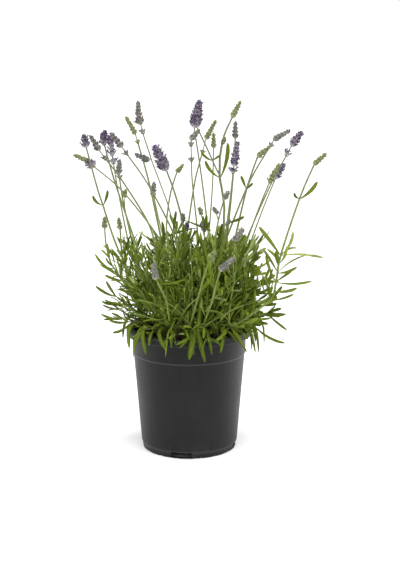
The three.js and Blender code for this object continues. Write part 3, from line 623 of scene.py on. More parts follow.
def leaf_green():
    """Narrow green blades, each with its own tone that also carries painted shade inside the bush, a paler
    midrib and underside, and a fine felt.
    """
    made, tree, shader = material("lavender_leaf")
    tint = attribute(tree, "tint")
    along = attribute(tree, "along")
    across = attribute(tree, "across")
    under = attribute(tree, "under")
    # The tint carries painted shade: low and inner leaves take the dark end of this ramp, high and outer ones
    # the light end.
    tone = ramp(
        tree, tint, (0.0, (0.042, 0.07, 0.001)), (0.25, (0.095, 0.145, 0.004)), (0.55, (0.18, 0.24, 0.014)),
        (0.8, (0.3, 0.37, 0.07)), (1.0, (0.42, 0.48, 0.19)),
    )
    mottle = noise(tree, 260, 4)
    mottled = blend(tree, between(tree, mottle, 0.35, 0.7) * 0.35, tone, (0.055, 0.09, 0.003))
    aside = across.maths("ABSOLUTE", across)
    rib = 1 - between(tree, aside, 0.04, 0.2)
    ribbed = blend(tree, rib * 0.3, mottled, (0.24, 0.32, 0.04))
    young = blend(tree, (1 - between(tree, along, 0.0, 0.3)) * 0.3, ribbed, (0.24, 0.32, 0.02))
    felt = between(tree, noise(tree, 1500, 2), 0.42, 0.62)
    paled = blend(tree, under * 0.38, young, (0.17, 0.22, 0.06))
    colour = blend(tree, felt * 0.08 * (0.2 + under), paled, (0.38, 0.43, 0.25))
    side_veins = bands(tree, along * 9 - aside * 0.6, 1.0, 1.2)
    rough = 0.58 + under * 0.18 + felt * 0.1
    relief = side_veins * 0.5 + rib * -1.2 + felt * 0.5
    drive(tree, shader, Base_Color=colour, Roughness=rough, Normal=bump(tree, relief, 0.00018))
    shader.inputs["Specular IOR Level"].default_value = 0.04
    shader.inputs["Subsurface Weight"].default_value = 0.2
    shader.inputs["Subsurface Radius"].default_value = (0.6, 1.0, 0.15)
    shader.inputs["Subsurface Scale"].default_value = 0.0012
    return made


def stem_green():
    """Stems: brown bark at the foot, green above, and greyer near the heads."""
    made, tree, shader = material("lavender_stem", 0.6)
    z = height(tree)
    mottle = noise(tree, 240, 4)
    lengthwise = node(tree, "ShaderNodeMapping", None, {"Vector": here(tree), "Scale": (1, 1, 0.06)})
    ridges = noise(tree, 1300, 2, lengthwise)
    green = blend(tree, between(tree, mottle, 0.35, 0.65), (0.12, 0.18, 0.02), (0.2, 0.27, 0.045))
    greyer = blend(tree, between(tree, z, 0.27, 0.4) * 0.75, green, (0.14, 0.145, 0.1))
    bark = blend(tree, between(tree, mottle, 0.4, 0.6), (0.09, 0.06, 0.035), (0.17, 0.13, 0.08))
    edge = z + (mottle - 0.5) * 0.03
    colour = blend(tree, between(tree, edge, 0.163, 0.188), bark, greyer)
    shaded = blend(tree, between(tree, ridges, 0.5, 0.7) * 0.35, colour, (0.09, 0.115, 0.035))
    drive(tree, shader, Base_Color=shaded, Normal=bump(tree, ridges + mottle * 0.3, 0.0003))
    return made


def floret_felt(name, foot, middle, mouth, bud):
    """Downy calyces: a colour at the foot, along the ribs and at the mouth, and the bud that closes it."""
    made, tree, shader = material(name, 0.8)
    along = attribute(tree, "along")
    tint = attribute(tree, "tint")
    run = along + (noise(tree, 500, 2) - 0.5) * 0.16
    tone = ramp(tree, run, (0.0, foot), (0.45, middle), (0.64, mouth), (0.9, bud))
    toned = blend(tree, between(tree, tint, 0.2, 2.2), tone, foot)
    down = between(tree, noise(tree, 2200, 2), 0.45, 0.65)
    pale = tuple(0.5 * (value + 0.42) for value in middle)
    colour = blend(tree, down * 0.12, toned, pale)
    ribs = bands(tree, attribute(tree, "around") * 8, 0.3)
    drive(tree, shader, Base_Color=colour, Normal=bump(tree, ribs + down * 0.6, 0.00025))
    shader.inputs["Sheen Weight"].default_value = 0.25
    shader.inputs["Sheen Roughness"].default_value = 0.4
    return made


def petal_skin(name, pale, deep):
    """Open corollas: deeper towards the throat."""
    made, tree, shader = material(name, 0.55)
    colour = blend(tree, attribute(tree, "along"), deep, pale)
    veined = blend(tree, noise(tree, 900, 2) * 0.3, colour, deep)
    drive(tree, shader, Base_Color=veined)
    shader.inputs["Subsurface Weight"].default_value = 0.15
    shader.inputs["Subsurface Scale"].default_value = 0.001
    return made


def floor_white():
    made, tree, shader = material("pale_floor", 0.9)
    darker = tuple(value * 0.99 for value in FLOOR_TONE)
    drive(tree, shader, Base_Color=blend(tree, noise(tree, 0.4) * 0.3, FLOOR_TONE, darker))
    return made


MATERIALS = {
    "pot": pot_plastic(),
    "soil": soil_mix(),
    "crumbs": crumb_mix(),
    "leaf": leaf_green(),
    "stem": stem_green(),
    "violet_flower": floret_felt(
        "violet_calyx", (0.56, 0.53, 0.54), (0.42, 0.35, 0.45), (0.034, 0.017, 0.044), (0.075, 0.038, 0.105)),
    "faded_flower": floret_felt(
        "dusky_calyx", (0.44, 0.44, 0.33), (0.31, 0.3, 0.26), (0.06, 0.046, 0.056), (0.11, 0.08, 0.13)),
    "green_bud": floret_felt(
        "green_calyx", (0.34, 0.43, 0.13), (0.36, 0.42, 0.17), (0.1, 0.12, 0.035), (0.22, 0.24, 0.12)),
    "petal": petal_skin("lilac_petal", (0.24, 0.15, 0.37), (0.1, 0.045, 0.18)),
}


# Camera, light and floor

def add_camera():
    data = bpy.data.cameras.new("camera")
    data.sensor_width = SENSOR
    data.lens = SENSOR * FOCAL_PIXELS / PHOTO_HEIGHT
    data.clip_end = 200
    camera = place_object("camera", data)
    camera.location = CAMERA_PLACE
    camera.rotation_euler = (math.pi / 2 - CAMERA_PITCH, 0, 0)
    bpy.context.scene.camera = camera


VIEW_AHEAD = Vector((0, math.cos(CAMERA_PITCH), -math.sin(CAMERA_PITCH)))
VIEW_UP = Vector((0, math.sin(CAMERA_PITCH), math.cos(CAMERA_PITCH)))


def pixel_of(place):
    """The pixel of the photograph where a place shows."""
    offset = place - Vector(CAMERA_PLACE)
    scale = FOCAL_PIXELS / offset.dot(VIEW_AHEAD)
    return Vector((PHOTO_WIDTH / 2 + offset.x * scale, PHOTO_HEIGHT / 2 - offset.dot(VIEW_UP) * scale))


def place_of(pixel, depth):
    """The place that shows at a pixel, where y is depth."""
    right = (pixel[0] - PHOTO_WIDTH / 2) / FOCAL_PIXELS
    up = (PHOTO_HEIGHT / 2 - pixel[1]) / FOCAL_PIXELS
    way = VIEW_AHEAD + Vector((right, 0, 0)) + VIEW_UP * up
    return Vector(CAMERA_PLACE) + way * ((depth - CAMERA_PLACE[1]) / way.y)


def add_lamp(name, kind, place, target, **settings):
    data = bpy.data.lights.new(name, kind)
    for key, value in settings.items():
        setattr(data, key, value)
    lamp = place_object(name, data)
    lamp.location = place
    lamp.rotation_euler = (Vector(target) - Vector(place)).to_track_quat("-Z", "Y").to_euler()


def add_light():
    """An even glow all round, a broad soft sun from the upper left, and a strip light at each side."""
    world = bpy.data.worlds.new("studio")
    world.use_nodes = True
    tree = world.node_tree
    tree.nodes.clear()
    glow = node(tree, "ShaderNodeBackground", None, {"Color": (1, 1, 1, 1), "Strength": SKY_GLOW})
    white = node(tree, "ShaderNodeBackground", None, {"Color": (1, 1, 1, 1), "Strength": 1.0})
    seen = node(tree, "ShaderNodeLightPath", None, None, "Is Camera Ray")
    sky = node(tree, "ShaderNodeMixShader", None, {0: seen, 1: glow, 2: white})
    node(tree, "ShaderNodeOutputWorld", None, {"Surface": sky})
    bpy.context.scene.world = world
    bpy.context.scene.view_settings.view_transform = "Standard"
    add_lamp("sun", "SUN", SUN_PLACE, (0, 0, 0), energy=SUN_STRENGTH, angle=SUN_WIDTH)
    for side, power in SIDE_STRIPS:
        place = (side * STRIP_PLACE[0], *STRIP_PLACE[1:])
        add_lamp(
            f"strip_{side}", "AREA", place, STRIP_AIM,
            energy=power, shape="RECTANGLE", size=STRIP_WIDTH, size_y=STRIP_HEIGHT,
        )


def add_floor():
    shape = bmesh.new()
    bmesh.ops.create_circle(shape, cap_ends=True, segments=96, radius=FLOOR_RADIUS)
    mesh = mesh_of(shape, "floor")
    mesh.materials.append(floor_white())
    floor = place_object("floor", mesh)


# Pieces

def add_piece(name, mesh, slot, *replaced):
    piece = place_object(name, mesh)
    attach(piece, "root")
    if replaced:
        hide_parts(*replaced)
    return piece


def solid_of(name):
    """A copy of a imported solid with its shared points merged."""
    shape = bmesh.new()
    shape.from_mesh(frame["nodes"][name].data)
    bmesh.ops.remove_doubles(shape, verts=shape.verts, dist=1e-6)
    shape.verts.index_update()
    return shape


def neighbours(vert):
    return [edge.other_vert(vert) for edge in vert.link_edges]


def in_order(verts):
    """Points by their numbers, because a set of them has another order in each run."""
    return sorted(verts, key=lambda vert: vert.index)


def middle_of(verts):
    return sum((vert.co for vert in verts), Vector()) / len(verts)


class Lines:
    """Open lines for a tree to sweep, with named values: one for a whole line, or one for each point."""

    def __init__(self):
        self.points = []
        self.edges = []
        self.values = {}

    def add(self, points, **values):
        first = len(self.points)
        self.points.extend(points)
        self.edges.extend((first + i, first + i + 1) for i in range(len(points) - 1))
        for name, value in values.items():
            column = value if isinstance(value, list) else [value] * len(points)
            self.values.setdefault(name, []).extend(column)

    def as_object(self, name, closed=False):
        """The lines as a mesh of edges, with their values as its attributes."""
        edges = self.edges + ([(len(self.points) - 1, 0)] if closed else [])
        mesh = bpy.data.meshes.new(name)
        mesh.from_pydata(self.points, edges, [])
        for label, column in self.values.items():
            is_vector = isinstance(column[0], Vector)
            layer = mesh.attributes.new(label, "FLOAT_VECTOR" if is_vector else "FLOAT", "POINT")
            if is_vector:
                layer.data.foreach_set("vector", [part for vector in column for part in vector])
            else:
                layer.data.foreach_set("value", column)
        return place_object(name, mesh)


# Pot

def pot_outline():
    """The pot's outline as (radius, height), walked along the solid at an azimuth clear of its slots."""
    shape = solid_of("pot")

    def is_on_plane(vert):
        off = math.atan2(vert.co.y, vert.co.x) - math.radians(POT_CLEAN_AZIMUTH)
        return vert.co.xy.length > MM and abs(math.remainder(off, math.tau)) < 0.01

    plane = {vert for vert in shape.verts if is_on_plane(vert)}
    walk = [min(plane, key=lambda vert: (round(vert.co.z, 5), vert.co.xy.length))]
    while True:
        onward = [vert for vert in neighbours(walk[-1]) if vert in plane and vert not in walk]
        if not onward:
            break
        walk.append(max(onward, key=lambda vert: vert.co.xy.length) if len(walk) == 1 else onward[0])
    outline = [(vert.co.xy.length, vert.co.z) for vert in walk]
    shape.free()
    return [(0, outline[0][1]), *outline, (0, outline[-1][1])]


def rounded(outline, radius):
    """The outline with each corner eased by a short curve, as (radius, height, highlight), the highlight
    being painted light along each rounded edge.
    """
    eased = [(*outline[0], 0)]
    for before, corner, after in zip(outline, outline[1:], outline[2:]):
        corner = Vector(corner)
        ends = []
        for other in (before, after):
            way = Vector(other) - corner
            ends.append(corner + way * min(radius / way.length, 0.4))
        for share in (0, 0.25, 0.5, 0.75, 1):
            low = ends[0].lerp(corner, share)
            eased.append((*low.lerp(corner.lerp(ends[1], share), share), 1 - abs(2 * share - 1)))
    return [*eased, (*outline[-1], 0)]


def nick_depth(angle):
    """How far a moulding nick lifts the foot's edge at an azimuth."""
    depth = 0
    for k in range(NICKS):
        centre = math.tau * (k + 0.35 * math.sin(k * 2.4)) / NICKS
        off = math.remainder(angle - centre, math.tau) / NICK_WIDTH
        depth = max(depth, NICK_DEPTH * (0.6 + 0.4 * math.sin(k * 1.7)) * math.exp(-off * off))
    return depth


def turned(outline, sectors):
    """A closed skin turned about the Z axis, with a painted highlight on its edges. The outline starts and
    ends on the axis.
    """
    shape = bmesh.new()
    worn = shape.verts.layers.float.new("worn")
    poles = [shape.verts.new((0, 0, outline[i][1])) for i in (0, -1)]
    rings = []
    for radius, z, highlight in outline[1:-1]:
        angles = [math.tau * k / sectors for k in range(sectors)]
        rings.append([shape.verts.new((radius * math.cos(a), radius * math.sin(a), z)) for a in angles])
        for vert in rings[-1]:
            vert[worn] = highlight
    for low, high in zip(rings, rings[1:]):
        for k in range(sectors):
            after = (k + 1) % sectors
            shape.faces.new((low[k], low[after], high[after], high[k]))
    for k in range(sectors):
        after = (k + 1) % sectors
        shape.faces.new((poles[0], rings[0][after], rings[0][k]))
        shape.faces.new((poles[1], rings[-1][k], rings[-1][after]))
    return shape


def slot_cutters(radius):
    shape = bmesh.new()
    for k in range(SLOTS):
        turn = Matrix.Rotation(FIRST_SLOT + math.tau * k / SLOTS, 4, "Z")
        middle = Matrix.Translation((radius, 0, (SLOT_SILL + SLOT_HEIGHT) / 2))
        place = turn @ middle @ Matrix.Diagonal((SLOT_REACH, SLOT_WIDTH, SLOT_HEIGHT - SLOT_SILL, 1))
        bmesh.ops.create_cube(shape, size=1, matrix=place)
    return place_object("slots", mesh_of(shape, "slots"))


def add_pot():
    outline = rounded(pot_outline(), POT_EDGE)
    shape = turned(outline, POT_SECTORS)
    foot = max(radius for radius, z, highlight in outline if z < MM)
    for vert in shape.verts:
        if vert.co.z < NICKED_HEIGHT and vert.co.xy.length > foot - NICKED_REACH:
            share = 1 - vert.co.z / NICKED_HEIGHT
            vert.co.z += share * nick_depth(math.atan2(vert.co.y, vert.co.x))
    blank = place_object("blank", mesh_of(shape, "pot"))
    cutters = slot_cutters(foot)
    cut = blank.modifiers.new("slots", "BOOLEAN")
    cut.object = cutters
    cut.solver = "EXACT"
    skin = applied(blank)
    discard(cutters)
    skin.materials.clear()
    skin.materials.append(MATERIALS["pot"])
    skin.polygons.foreach_set("use_smooth", [True] * len(skin.polygons))
    skin.set_sharp_from_angle(angle=SHARP_ANGLE)
    add_piece("nursery_pot", skin, "pot_plastic", "pot")


# Soil

def random_vector(tree, low, high, seed):
    inputs = {"Min": low, "Max": high, "Seed": seed}
    return node(tree, "FunctionNodeRandomValue", {"data_type": "FLOAT_VECTOR"}, inputs)


def crumb_tree():
    """Crumbs scattered over the soil's upper faces."""
    standards = {"Ground": None, "Crumbs a square metre": 1.0, "Crumb radius": CRUMB_RADIUS}
    tree, sizes = geometry_tree("soil crumbs", standards)
    level = node(tree, "ShaderNodeSeparateXYZ", None, {0: node(tree, "GeometryNodeInputNormal")}, "Z")
    is_top = node(tree, "FunctionNodeCompare", {"operation": "GREATER_THAN"}, {"A": level, "B": CRUMB_LEVEL})
    points = node(tree, "GeometryNodeDistributePointsOnFaces", None, {
        "Mesh": shape_of(tree, sizes["Ground"]), "Selection": is_top,
        "Density": sizes["Crumbs a square metre"], "Seed": CRUMB_SEEDS["place"],
    })
    pick = {"Min_001": 0.0, "Max_001": 1.0, "Seed": CRUMB_SEEDS["tint"]}
    tinted = stored(tree, points, "tint", node(tree, "FunctionNodeRandomValue", None, pick, "Value_001"))
    ball = {"Radius": sizes["Crumb radius"], "Subdivisions": 1}
    crumb = node(tree, "GeometryNodeMeshIcoSphere", None, ball)
    spin = random_vector(tree, (0, 0, 0), (math.tau, math.tau, math.tau), CRUMB_SEEDS["spin"])
    turn = node(tree, "FunctionNodeEulerToRotation", None, {0: spin})
    scale = random_vector(tree, *CRUMB_SIZES, CRUMB_SEEDS["size"])
    end_tree(tree, coated(tree, set_out(tree, tinted, crumb, turn, scale), "crumbs"))
    return tree


def add_soil():
    """The soil's top follows the solid's lumps, with finer ones, and its sides follow the pot's wall."""
    source = solid_of("potting_soil")
    lookup = BVHTree.FromBMesh(source)
    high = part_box("potting_soil")[1]
    edge = high.x
    pick = random.Random(SOIL_SEED)
    waves = [
        (pick.uniform(90, 900), pick.uniform(0, math.tau), pick.uniform(0, math.tau))
        for _ in range(SOIL_WAVES)
    ]

    def lump(x, y):
        return LUMP_HEIGHT * sum(
            math.sin(x * pace * math.cos(way) + y * pace * math.sin(way) + phase) / (1 + pace / 160)
            for pace, way, phase in waves
        )

    def top_at(x, y):
        hit = lookup.ray_cast(Vector((x, y, high.z + 0.01)), -UP)[0]
        level = hit.z if hit and hit.z > high.z - HOLE_DEPTH else high.z - HOLE_FILL
        return min(level + lump(x, y), high.z + LUMP_RISE)

    wall = {}
    for vert in source.verts:
        wall[round(vert.co.z, 4)] = max(wall.get(round(vert.co.z, 4), 0), vert.co.xy.length)
    source.free()
    floor = min(wall)
    sides = [
        (radius, z) for z, radius in sorted(wall.items())
        if z < high.z - HOLE_DEPTH and radius > 0.5 * edge
    ]
    rings = [edge * (1 - (i / SOIL_RINGS) ** 1.2) for i in range(SOIL_RINGS)]
    outline = [(0, floor), *sides, *[(r, high.z) for r in rings], (0, high.z)]
    shape = turned([(radius, z, 0) for radius, z in outline], SOIL_SECTORS)
    for vert in shape.verts:
        if vert.co.z > high.z - MM:
            x, y = vert.co.xy
            vert.co.z = top_at(x * 0.995, y * 0.995)
    mesh = mesh_of(shape, "soil")
    mesh.materials.append(MATERIALS["soil"])
    mesh.polygons.foreach_set("use_smooth", [True] * len(mesh.polygons))
    bed = add_piece("potting_soil_bed", mesh, "soil", "potting_soil")
    area = math.pi * edge * edge
    crumbs = grow(crumb_tree(), Ground=bed, Crumbs_a_square_metre=CRUMBS / area)
    add_piece("soil_crumbs", crumbs, "soil")


# Stems and leaves read back from the solids

class Leaf:
    """A leaf of a solid: its foot, widest place, tip, half width, and the way its upper face looks."""

    def __init__(self, tip, ring, foot):
        pairs = ((a, b) for a in ring for b in ring if a != b)
        edges = max(pairs, key=lambda pair: (pair[0].co - pair[1].co).length)
        keel = next(vert for vert in ring if vert not in edges)
        self.tip = tip.co.copy()
        self.wide = (edges[0].co + edges[1].co) / 2
        self.half = (edges[0].co - edges[1].co).length / 2
        self.upper = (self.wide - keel.co).normalized()
        self.foot = middle_of(foot)


class Chain:
    """A stem's middle line from its top down to the woody base, with its radius at each point."""

    def __init__(self, points, radii):
        kept = [0]
        for i in range(1, len(points) - 1):
            if min((points[i] - points[k]).length for k in (kept[-1], -1)) > RING_SPACING:
                kept.append(i)
        kept.append(len(points) - 1)
        self.points = points = [points[i] for i in kept]
        self.radii = [radii[i] for i in kept]
        self.lengths = [0]
        for a, b in zip(points, points[1:]):
            self.lengths.append(self.lengths[-1] + (b - a).length)
        self.length = self.lengths[-1]

    def at(self, length):
        """The place and the way up the stem at a length below its top."""
        for i, (above, below) in enumerate(zip(self.points, self.points[1:])):
            if self.lengths[i + 1] >= length:
                share = (length - self.lengths[i]) / (self.lengths[i + 1] - self.lengths[i])
                return above.lerp(below, share), (above - below).normalized()
        return self.points[-1], (self.points[-2] - self.points[-1]).normalized()


def read_leaves(shape):
    """The leaves of a stem's solid. Their points are then taken off it, and its holes are closed."""
    leaves = []
    blades = set()
    for tip in shape.verts:
        ring = neighbours(tip)
        if len(ring) != 3:
            continue
        feet = {vert for side in ring for vert in neighbours(side)} - {tip, *ring}
        foot = sorted(in_order(feet), key=lambda vert: (vert.co - tip.co).length)[-3:]
        leaf = Leaf(tip, ring, foot)
        if (leaf.tip - leaf.foot).length > 3 * SMALLEST_LEAF and leaf.half > 0.4 * SMALLEST_LEAF:
            leaves.append(leaf)
            blades.update((tip, *ring))
    bmesh.ops.delete(shape, geom=in_order(blades), context="VERTS")
    bmesh.ops.holes_fill(shape, edges=[edge for edge in shape.edges if edge.is_boundary], sides=0)
    shape.verts.index_update()
    shape.normal_update()
    return leaves


def stem_tops(shape):
    """The flat four-sided ends of a solid's stems, as the four points of each."""
    tops = []
    for edge in shape.edges:
        faces = edge.link_faces
        if len(faces) != 2 or any(len(face.verts) != 3 for face in faces):
            continue
        size = sum(face.calc_area() for face in faces)
        if size > (2.9 * MM) ** 2 or faces[0].normal.dot(faces[1].normal) < 0.9995:
            continue
        sides = [other for face in faces for other in face.edges if other != edge]
        if all(len(side.link_faces) == 2 and side.calc_face_angle() > STEM_TOP_TURN for side in sides):
            tops.append(in_order({vert for face in faces for vert in face.verts}))
    return tops


def read_chains(shape, base):
    """The middle line of each stem, from its top to the woody base or to the stem that it forks from."""
    chains = []
    inside = BVHTree.FromBMesh(shape)
    for top in sorted(stem_tops(shape), key=lambda ring: -middle_of(ring).z):
        seen = set(top)
        rings = [top]
        while True:
            below = {other for vert in rings[-1] for other in neighbours(vert)} - seen
            if len(below) != 4:
                break
            rings.append(in_order(below))
            seen |= below
        points = [middle_of(ring) for ring in rings]
        radii = [sum((vert.co - place).length for vert in ring) / 4 for ring, place in zip(rings, points)]
        is_low = points[0].z < base.z + BASE_REACH
        if len(points) < 2 or is_low and (points[0] - points[-1]).length < 8 * MM:
            continue
        if points[-1].z > base.z + BASE_REACH:
            mainstem = nearest_spot(chains, points[-1])
            if mainstem and (mainstem - points[-1]).length < 2 * TRACK_STEP:
                chains.append(Chain([*points, mainstem], [*radii, radii[-1]]))
                continue
            track_down(inside, points, base.z + BASE_REACH)
            radii += [radii[-1]] * (len(points) - len(radii))
        way = (points[-1] - points[-2]).normalized()
        root = Vector((base.x, base.y, max(base.z, min(points[-1].z - 6 * MM, base.z + 40 * MM))))
        gap = (root - points[-1]).length
        chains.append(Chain([*points, points[-1] + way * gap * 0.4, root], [*radii, radii[-1], radii[-1]]))
    return chains


def middle_shifts(inside, guess, way):
    """The ways from a guess to the middle of the walls on two opposite sides, where it has both."""
    side = Vector((1, 0, 0)).cross(way).normalized()
    shifts = []
    for k in range(4):
        out = Matrix.Rotation(math.pi * k / 4, 3, way) @ side
        reaches = [inside.ray_cast(guess, out * sign, TRACK_REACH)[3] for sign in (1, -1)]
        if None not in reaches:
            shifts.append(out * (reaches[0] - reaches[1]) / 2)
    return shifts


def track_down(inside, points, lowest):
    """Goes on down a stem past a fork, a step at a time, from the middle of the walls round each step.

    Where the way straight on leaves the walls, ways turned from it are tried.
    """
    while points[-1].z > lowest:
        way = (points[-1] - points[-2]).normalized()
        side = Vector((1, 0, 0)).cross(way).normalized()
        ways = [way] + [
            (way + math.tan(turn) * (Matrix.Rotation(math.tau * k / 8, 3, way) @ side)).normalized()
            for turn in TRACK_TURNS for k in range(8)
        ]
        best = []
        for onward in ways:
            guess = points[-1] + onward * TRACK_STEP
            shifts = middle_shifts(inside, guess, onward)
            if len(shifts) > len(best):
                best, way = shifts, onward
            if len(best) > 2:
                break
        points.append(points[-1] + way * TRACK_STEP + sum(best, Vector()) / max(1, len(best)))


def nearest_spot(chains, place):
    """The point of the stems' middle lines that lies nearest to a place."""
    spots = [spot for chain in chains for spot in chain.points]
    return min(spots, key=lambda spot: (spot - place).length) if spots else None


def clears_pot(point, margin):
    """True if a point keeps out of the pot's lip and wall and above the soil."""
    out = point.xy.length
    is_at_lip = POT_TOP - LIP_DEPTH < point.z < POT_TOP + margin
    if is_at_lip and POT_COLLAR - LIP_INSET - margin < out < POT_LIP + margin:
        return False
    if out < POT_COLLAR + margin and point.z < POT_TOP - LIP_DEPTH:
        return out < SOIL_EDGE - margin and point.z > SOIL_LEVEL + margin
    return True


def arc(foot, wide, tip, at=LEAF_WAIST):
    """Points of a smooth line from a leaf's foot past its widest place to its tip."""
    bend = (wide - foot * (1 - at) ** 2 - tip * at ** 2) / (2 * at * (1 - at))
    return [foot * (1 - t) ** 2 + bend * (2 * t * (1 - t)) + tip * t ** 2 for t in LEAF_STOPS]


def add_blade(lines, points, upper, half, tint):
    """One leaf's line, with the way its face looks at each point, turned a little towards the front."""
    facing = []
    for i in range(len(points)):
        way = (points[min(i + 1, len(points) - 1)] - points[max(i - 1, 0)]).normalized()
        face = (upper - way * upper.dot(way)).normalized()
        face += FRONTWARD * math.copysign(FRONT_TURN, face.dot(FRONTWARD))
        facing.append((face - way * face.dot(way)).normalized())
    lines.add(points, facing=facing, half=half, along=list(LEAF_STOPS), tint=min(1.0, max(0.0, tint)))


def new_leaf(lines, foot, run, out, shape, tint, sag=0.0):
    """A leaf that grows from foot, leaning out from the stem's run, if it keeps clear of the pot.

    The shape is its length, lean, arch, half width and roll about itself.
    """
    length, lean, arch, half, roll = shape
    first = (run * math.cos(lean) + out * math.sin(lean) - UP * sag * 0.4).normalized()
    second = (run * math.cos(lean + arch) + out * math.sin(lean + arch) - UP * sag * 1.4).normalized()
    wide = foot + first * length * LEAF_WAIST
    points = arc(foot, wide, wide + second * length * (1 - LEAF_WAIST))
    if all(clears_pot(point, RIM_GAP) for point in points[1:]) and not hides_stalk(points):
        upper = out.cross(run).cross(first)
        upper = upper if upper.dot(run) > 0 else -upper
        add_blade(lines, points, Matrix.Rotation(roll, 3, first) @ upper, half, tint)


FRONT_SPOTS = {}


def cell_of(place):
    pixel = pixel_of(place)
    return round(pixel.x / FRONT_ROOM), round(pixel.y / FRONT_ROOM)


def mark_stalk(chain):
    """Notes where a stalk in front of the bush shows, and how near it is."""
    s = 0
    while s < chain.length:
        place = chain.at(s)[0]
        if place.z > POT_TOP + 25 * MM:
            FRONT_SPOTS[cell_of(place)] = place.y
        s += MM


def hides_stalk(points):
    """True if a leaf would stand before one of the stalks in front of the bush."""
    return any(place.y < FRONT_SPOTS.get(cell_of(place), -1) for place in points)


def shaded_tone_at(place, pick):
    """Painted shade and light: leaves are darker low and inside, brighter high and outside; the random part,
    each leaf's own tone, is more alike far out.
    """
    high = (place.z - TONE_FOOT) / TONE_HEIGHT
    outside = place.xy.length / TONE_REACH
    spread = TONE_SPREAD if outside < TONE_ALIKE else TONE_SPREAD / 2
    return TONE_LEAST + TONE_RISE * high + TONE_OUTWARD * min(outside, 1) + pick.gauss(0, spread)


def stands_singly(place):
    return place.xy.length > SPARSE_OUT and place.z < SPARSE_TOP


def size_at(place):
    """How full the leaves grow across the bush, from 0 on its fine left side to 1."""
    return min(1, max(0, (place.x - FINE_FROM) / (FINE_TO - FINE_FROM)))


def out_from(run, azimuth):
    """A way square to a run, at an azimuth about it."""
    side = Vector((0, 1, 0)).cross(run).normalized()
    return Matrix.Rotation(azimuth, 3, run) @ side


def droop_at(place):
    """Leaves low over the front and back of the rim droop, and those at the sides don't."""
    low = max(0, 1 - (place.z - POT_TOP) / (40 * MM))
    facing = abs(place.y) / max(place.xy.length, MM)
    return 0.3 * low * facing * min(1, place.xy.length / POT_COLLAR)


def add_solid_leaf(lines, leaf, chains, pick):
    """One of the solid's own leaves, and small ones in its axil."""
    points = arc(leaf.foot, leaf.wide, leaf.tip)
    if leaf.tip.z > FACING_HEIGHT:
        upper = (leaf.upper + HIGH_FACING).normalized()
        add_blade(lines, points, upper, leaf.half * 0.85, HIGH_TONE[0] + pick.gauss(0, HIGH_TONE[1]))
        return
    full = size_at(leaf.foot)
    if not hides_stalk(points):
        half = leaf.half * (FINE_WIDTH + (0.9 - FINE_WIDTH) * full)
        add_blade(lines, points, leaf.upper, half, shaded_tone_at(leaf.wide, pick))
    run = nearest_run(chains, leaf.foot)
    out = leaf.wide - leaf.foot
    out = (out - run * out.dot(run)).normalized()
    for _ in range(0 if stands_singly(leaf.tip) else pick.randrange(1, 3)):
        turn = Matrix.Rotation(pick.uniform(-0.8, 0.8), 3, run)
        shape = (
            (leaf.tip - leaf.foot).length * pick.uniform(*AXIL_LENGTHS),
            math.radians(pick.uniform(*AXIL_LEANS)),
            math.radians(pick.uniform(*AXIL_ARCHES)),
            leaf.half * pick.uniform(0.4, 0.6 + 0.15 * full),
            pick.gauss(0, 0.5),
        )
        foot = leaf.foot + run * pick.uniform(0.2, 1.6) * MM
        new_leaf(lines, foot, run, turn @ out, shape, shaded_tone_at(leaf.foot, pick) + 0.1, droop_at(leaf.foot))


def add_leaf_pairs(lines, chain, pick):
    """A pair of leaves at every joint of a stem, square to the pair above, longer down the stem."""
    s = pick.uniform(1, 4) * MM
    quarter = pick.uniform(0, math.tau)
    while s < chain.length - 8 * MM:
        place, run = chain.at(s)
        if SOIL_LEVEL + 14 * MM < place.z < LEAFY_TOP:
            age = min(1, s / PAIR_AGEING)
            full = size_at(place)
            length = (PAIR_LENGTH + PAIR_GROWTH * age) * (FINE_LENGTH + (1.08 - FINE_LENGTH) * full)
            half = PAIR_HALF * (FINE_WIDTH + (1 - FINE_WIDTH) * full)
            for k in range(2):
                if stands_singly(place) and pick.random() > SPARSE_SHARE:
                    continue
                out = out_from(run, quarter + math.pi * k + pick.gauss(0, 0.25))
                shape = (
                    length * pick.uniform(*PAIR_LENGTHS) * MM,
                    math.radians(10 + (24 + 12 * full) * age + pick.gauss(0, 13)),
                    math.radians(pick.uniform(*PAIR_ARCHES)),
                    half * pick.uniform(*PAIR_HALVES) * MM,
                    pick.gauss(0, 0.6),
                )
                tint = shaded_tone_at(place, pick)
                new_leaf(lines, place + out * 0.6 * MM, run, out, shape, tint, droop_at(place))
        quarter += math.pi / 2
        s += NODE_SPACING * pick.uniform(0.7, 1.3)


def leaf_lines(leaves, chains, pick):
    """The lines of all the leaves of one leafy stem."""
    lines = Lines()
    for leaf in leaves:
        add_solid_leaf(lines, leaf, chains, pick)
    for chain in chains:
        add_leaf_pairs(lines, chain, pick)
    return lines


def bush_height(out):
    """How high the leafy part of the bush stands at a distance from its middle."""
    return BUSH_SHOULDER + (BUSH_TOP - BUSH_SHOULDER) * math.sqrt(max(0, 1 - (out / BUSH_RADIUS) ** 2))


def young_shoots(base, pick):
    """Short leafy shoots from a woody base, which fill the bush between the longer stems."""
    chains = []
    own = math.atan2(base.y, base.x)
    for k in range(YOUNG_SHOOTS):
        azimuth = own + pick.gauss(0, YOUNG_TURN)
        reach = base.xy.length * pick.uniform(*YOUNG_OUTS) + pick.uniform(*YOUNG_ASIDE) * MM
        out = min(BUSH_RADIUS * 0.93, reach)
        height = SOIL_LEVEL + (bush_height(out) - SOIL_LEVEL) * pick.uniform(*YOUNG_HEIGHTS)
        end = Vector((out * math.cos(azimuth), out * math.sin(azimuth), height))
        foot = base.copy()
        knee = foot.lerp(end, 0.45)
        knee.z = max(foot.z + (end.z - foot.z) * 0.62, POT_TOP + 10 * MM)
        points = arc(foot, knee, end, 0.5)[::-1]
        radii = [(0.75 + 0.55 * i / len(points)) * MM for i in range(len(points))]
        if all(clears_pot(point, 2 * RIM_GAP) or point.xy.length < POT_COLLAR - 8 * MM for point in points):
            chains.append(Chain(points, radii))
    return chains


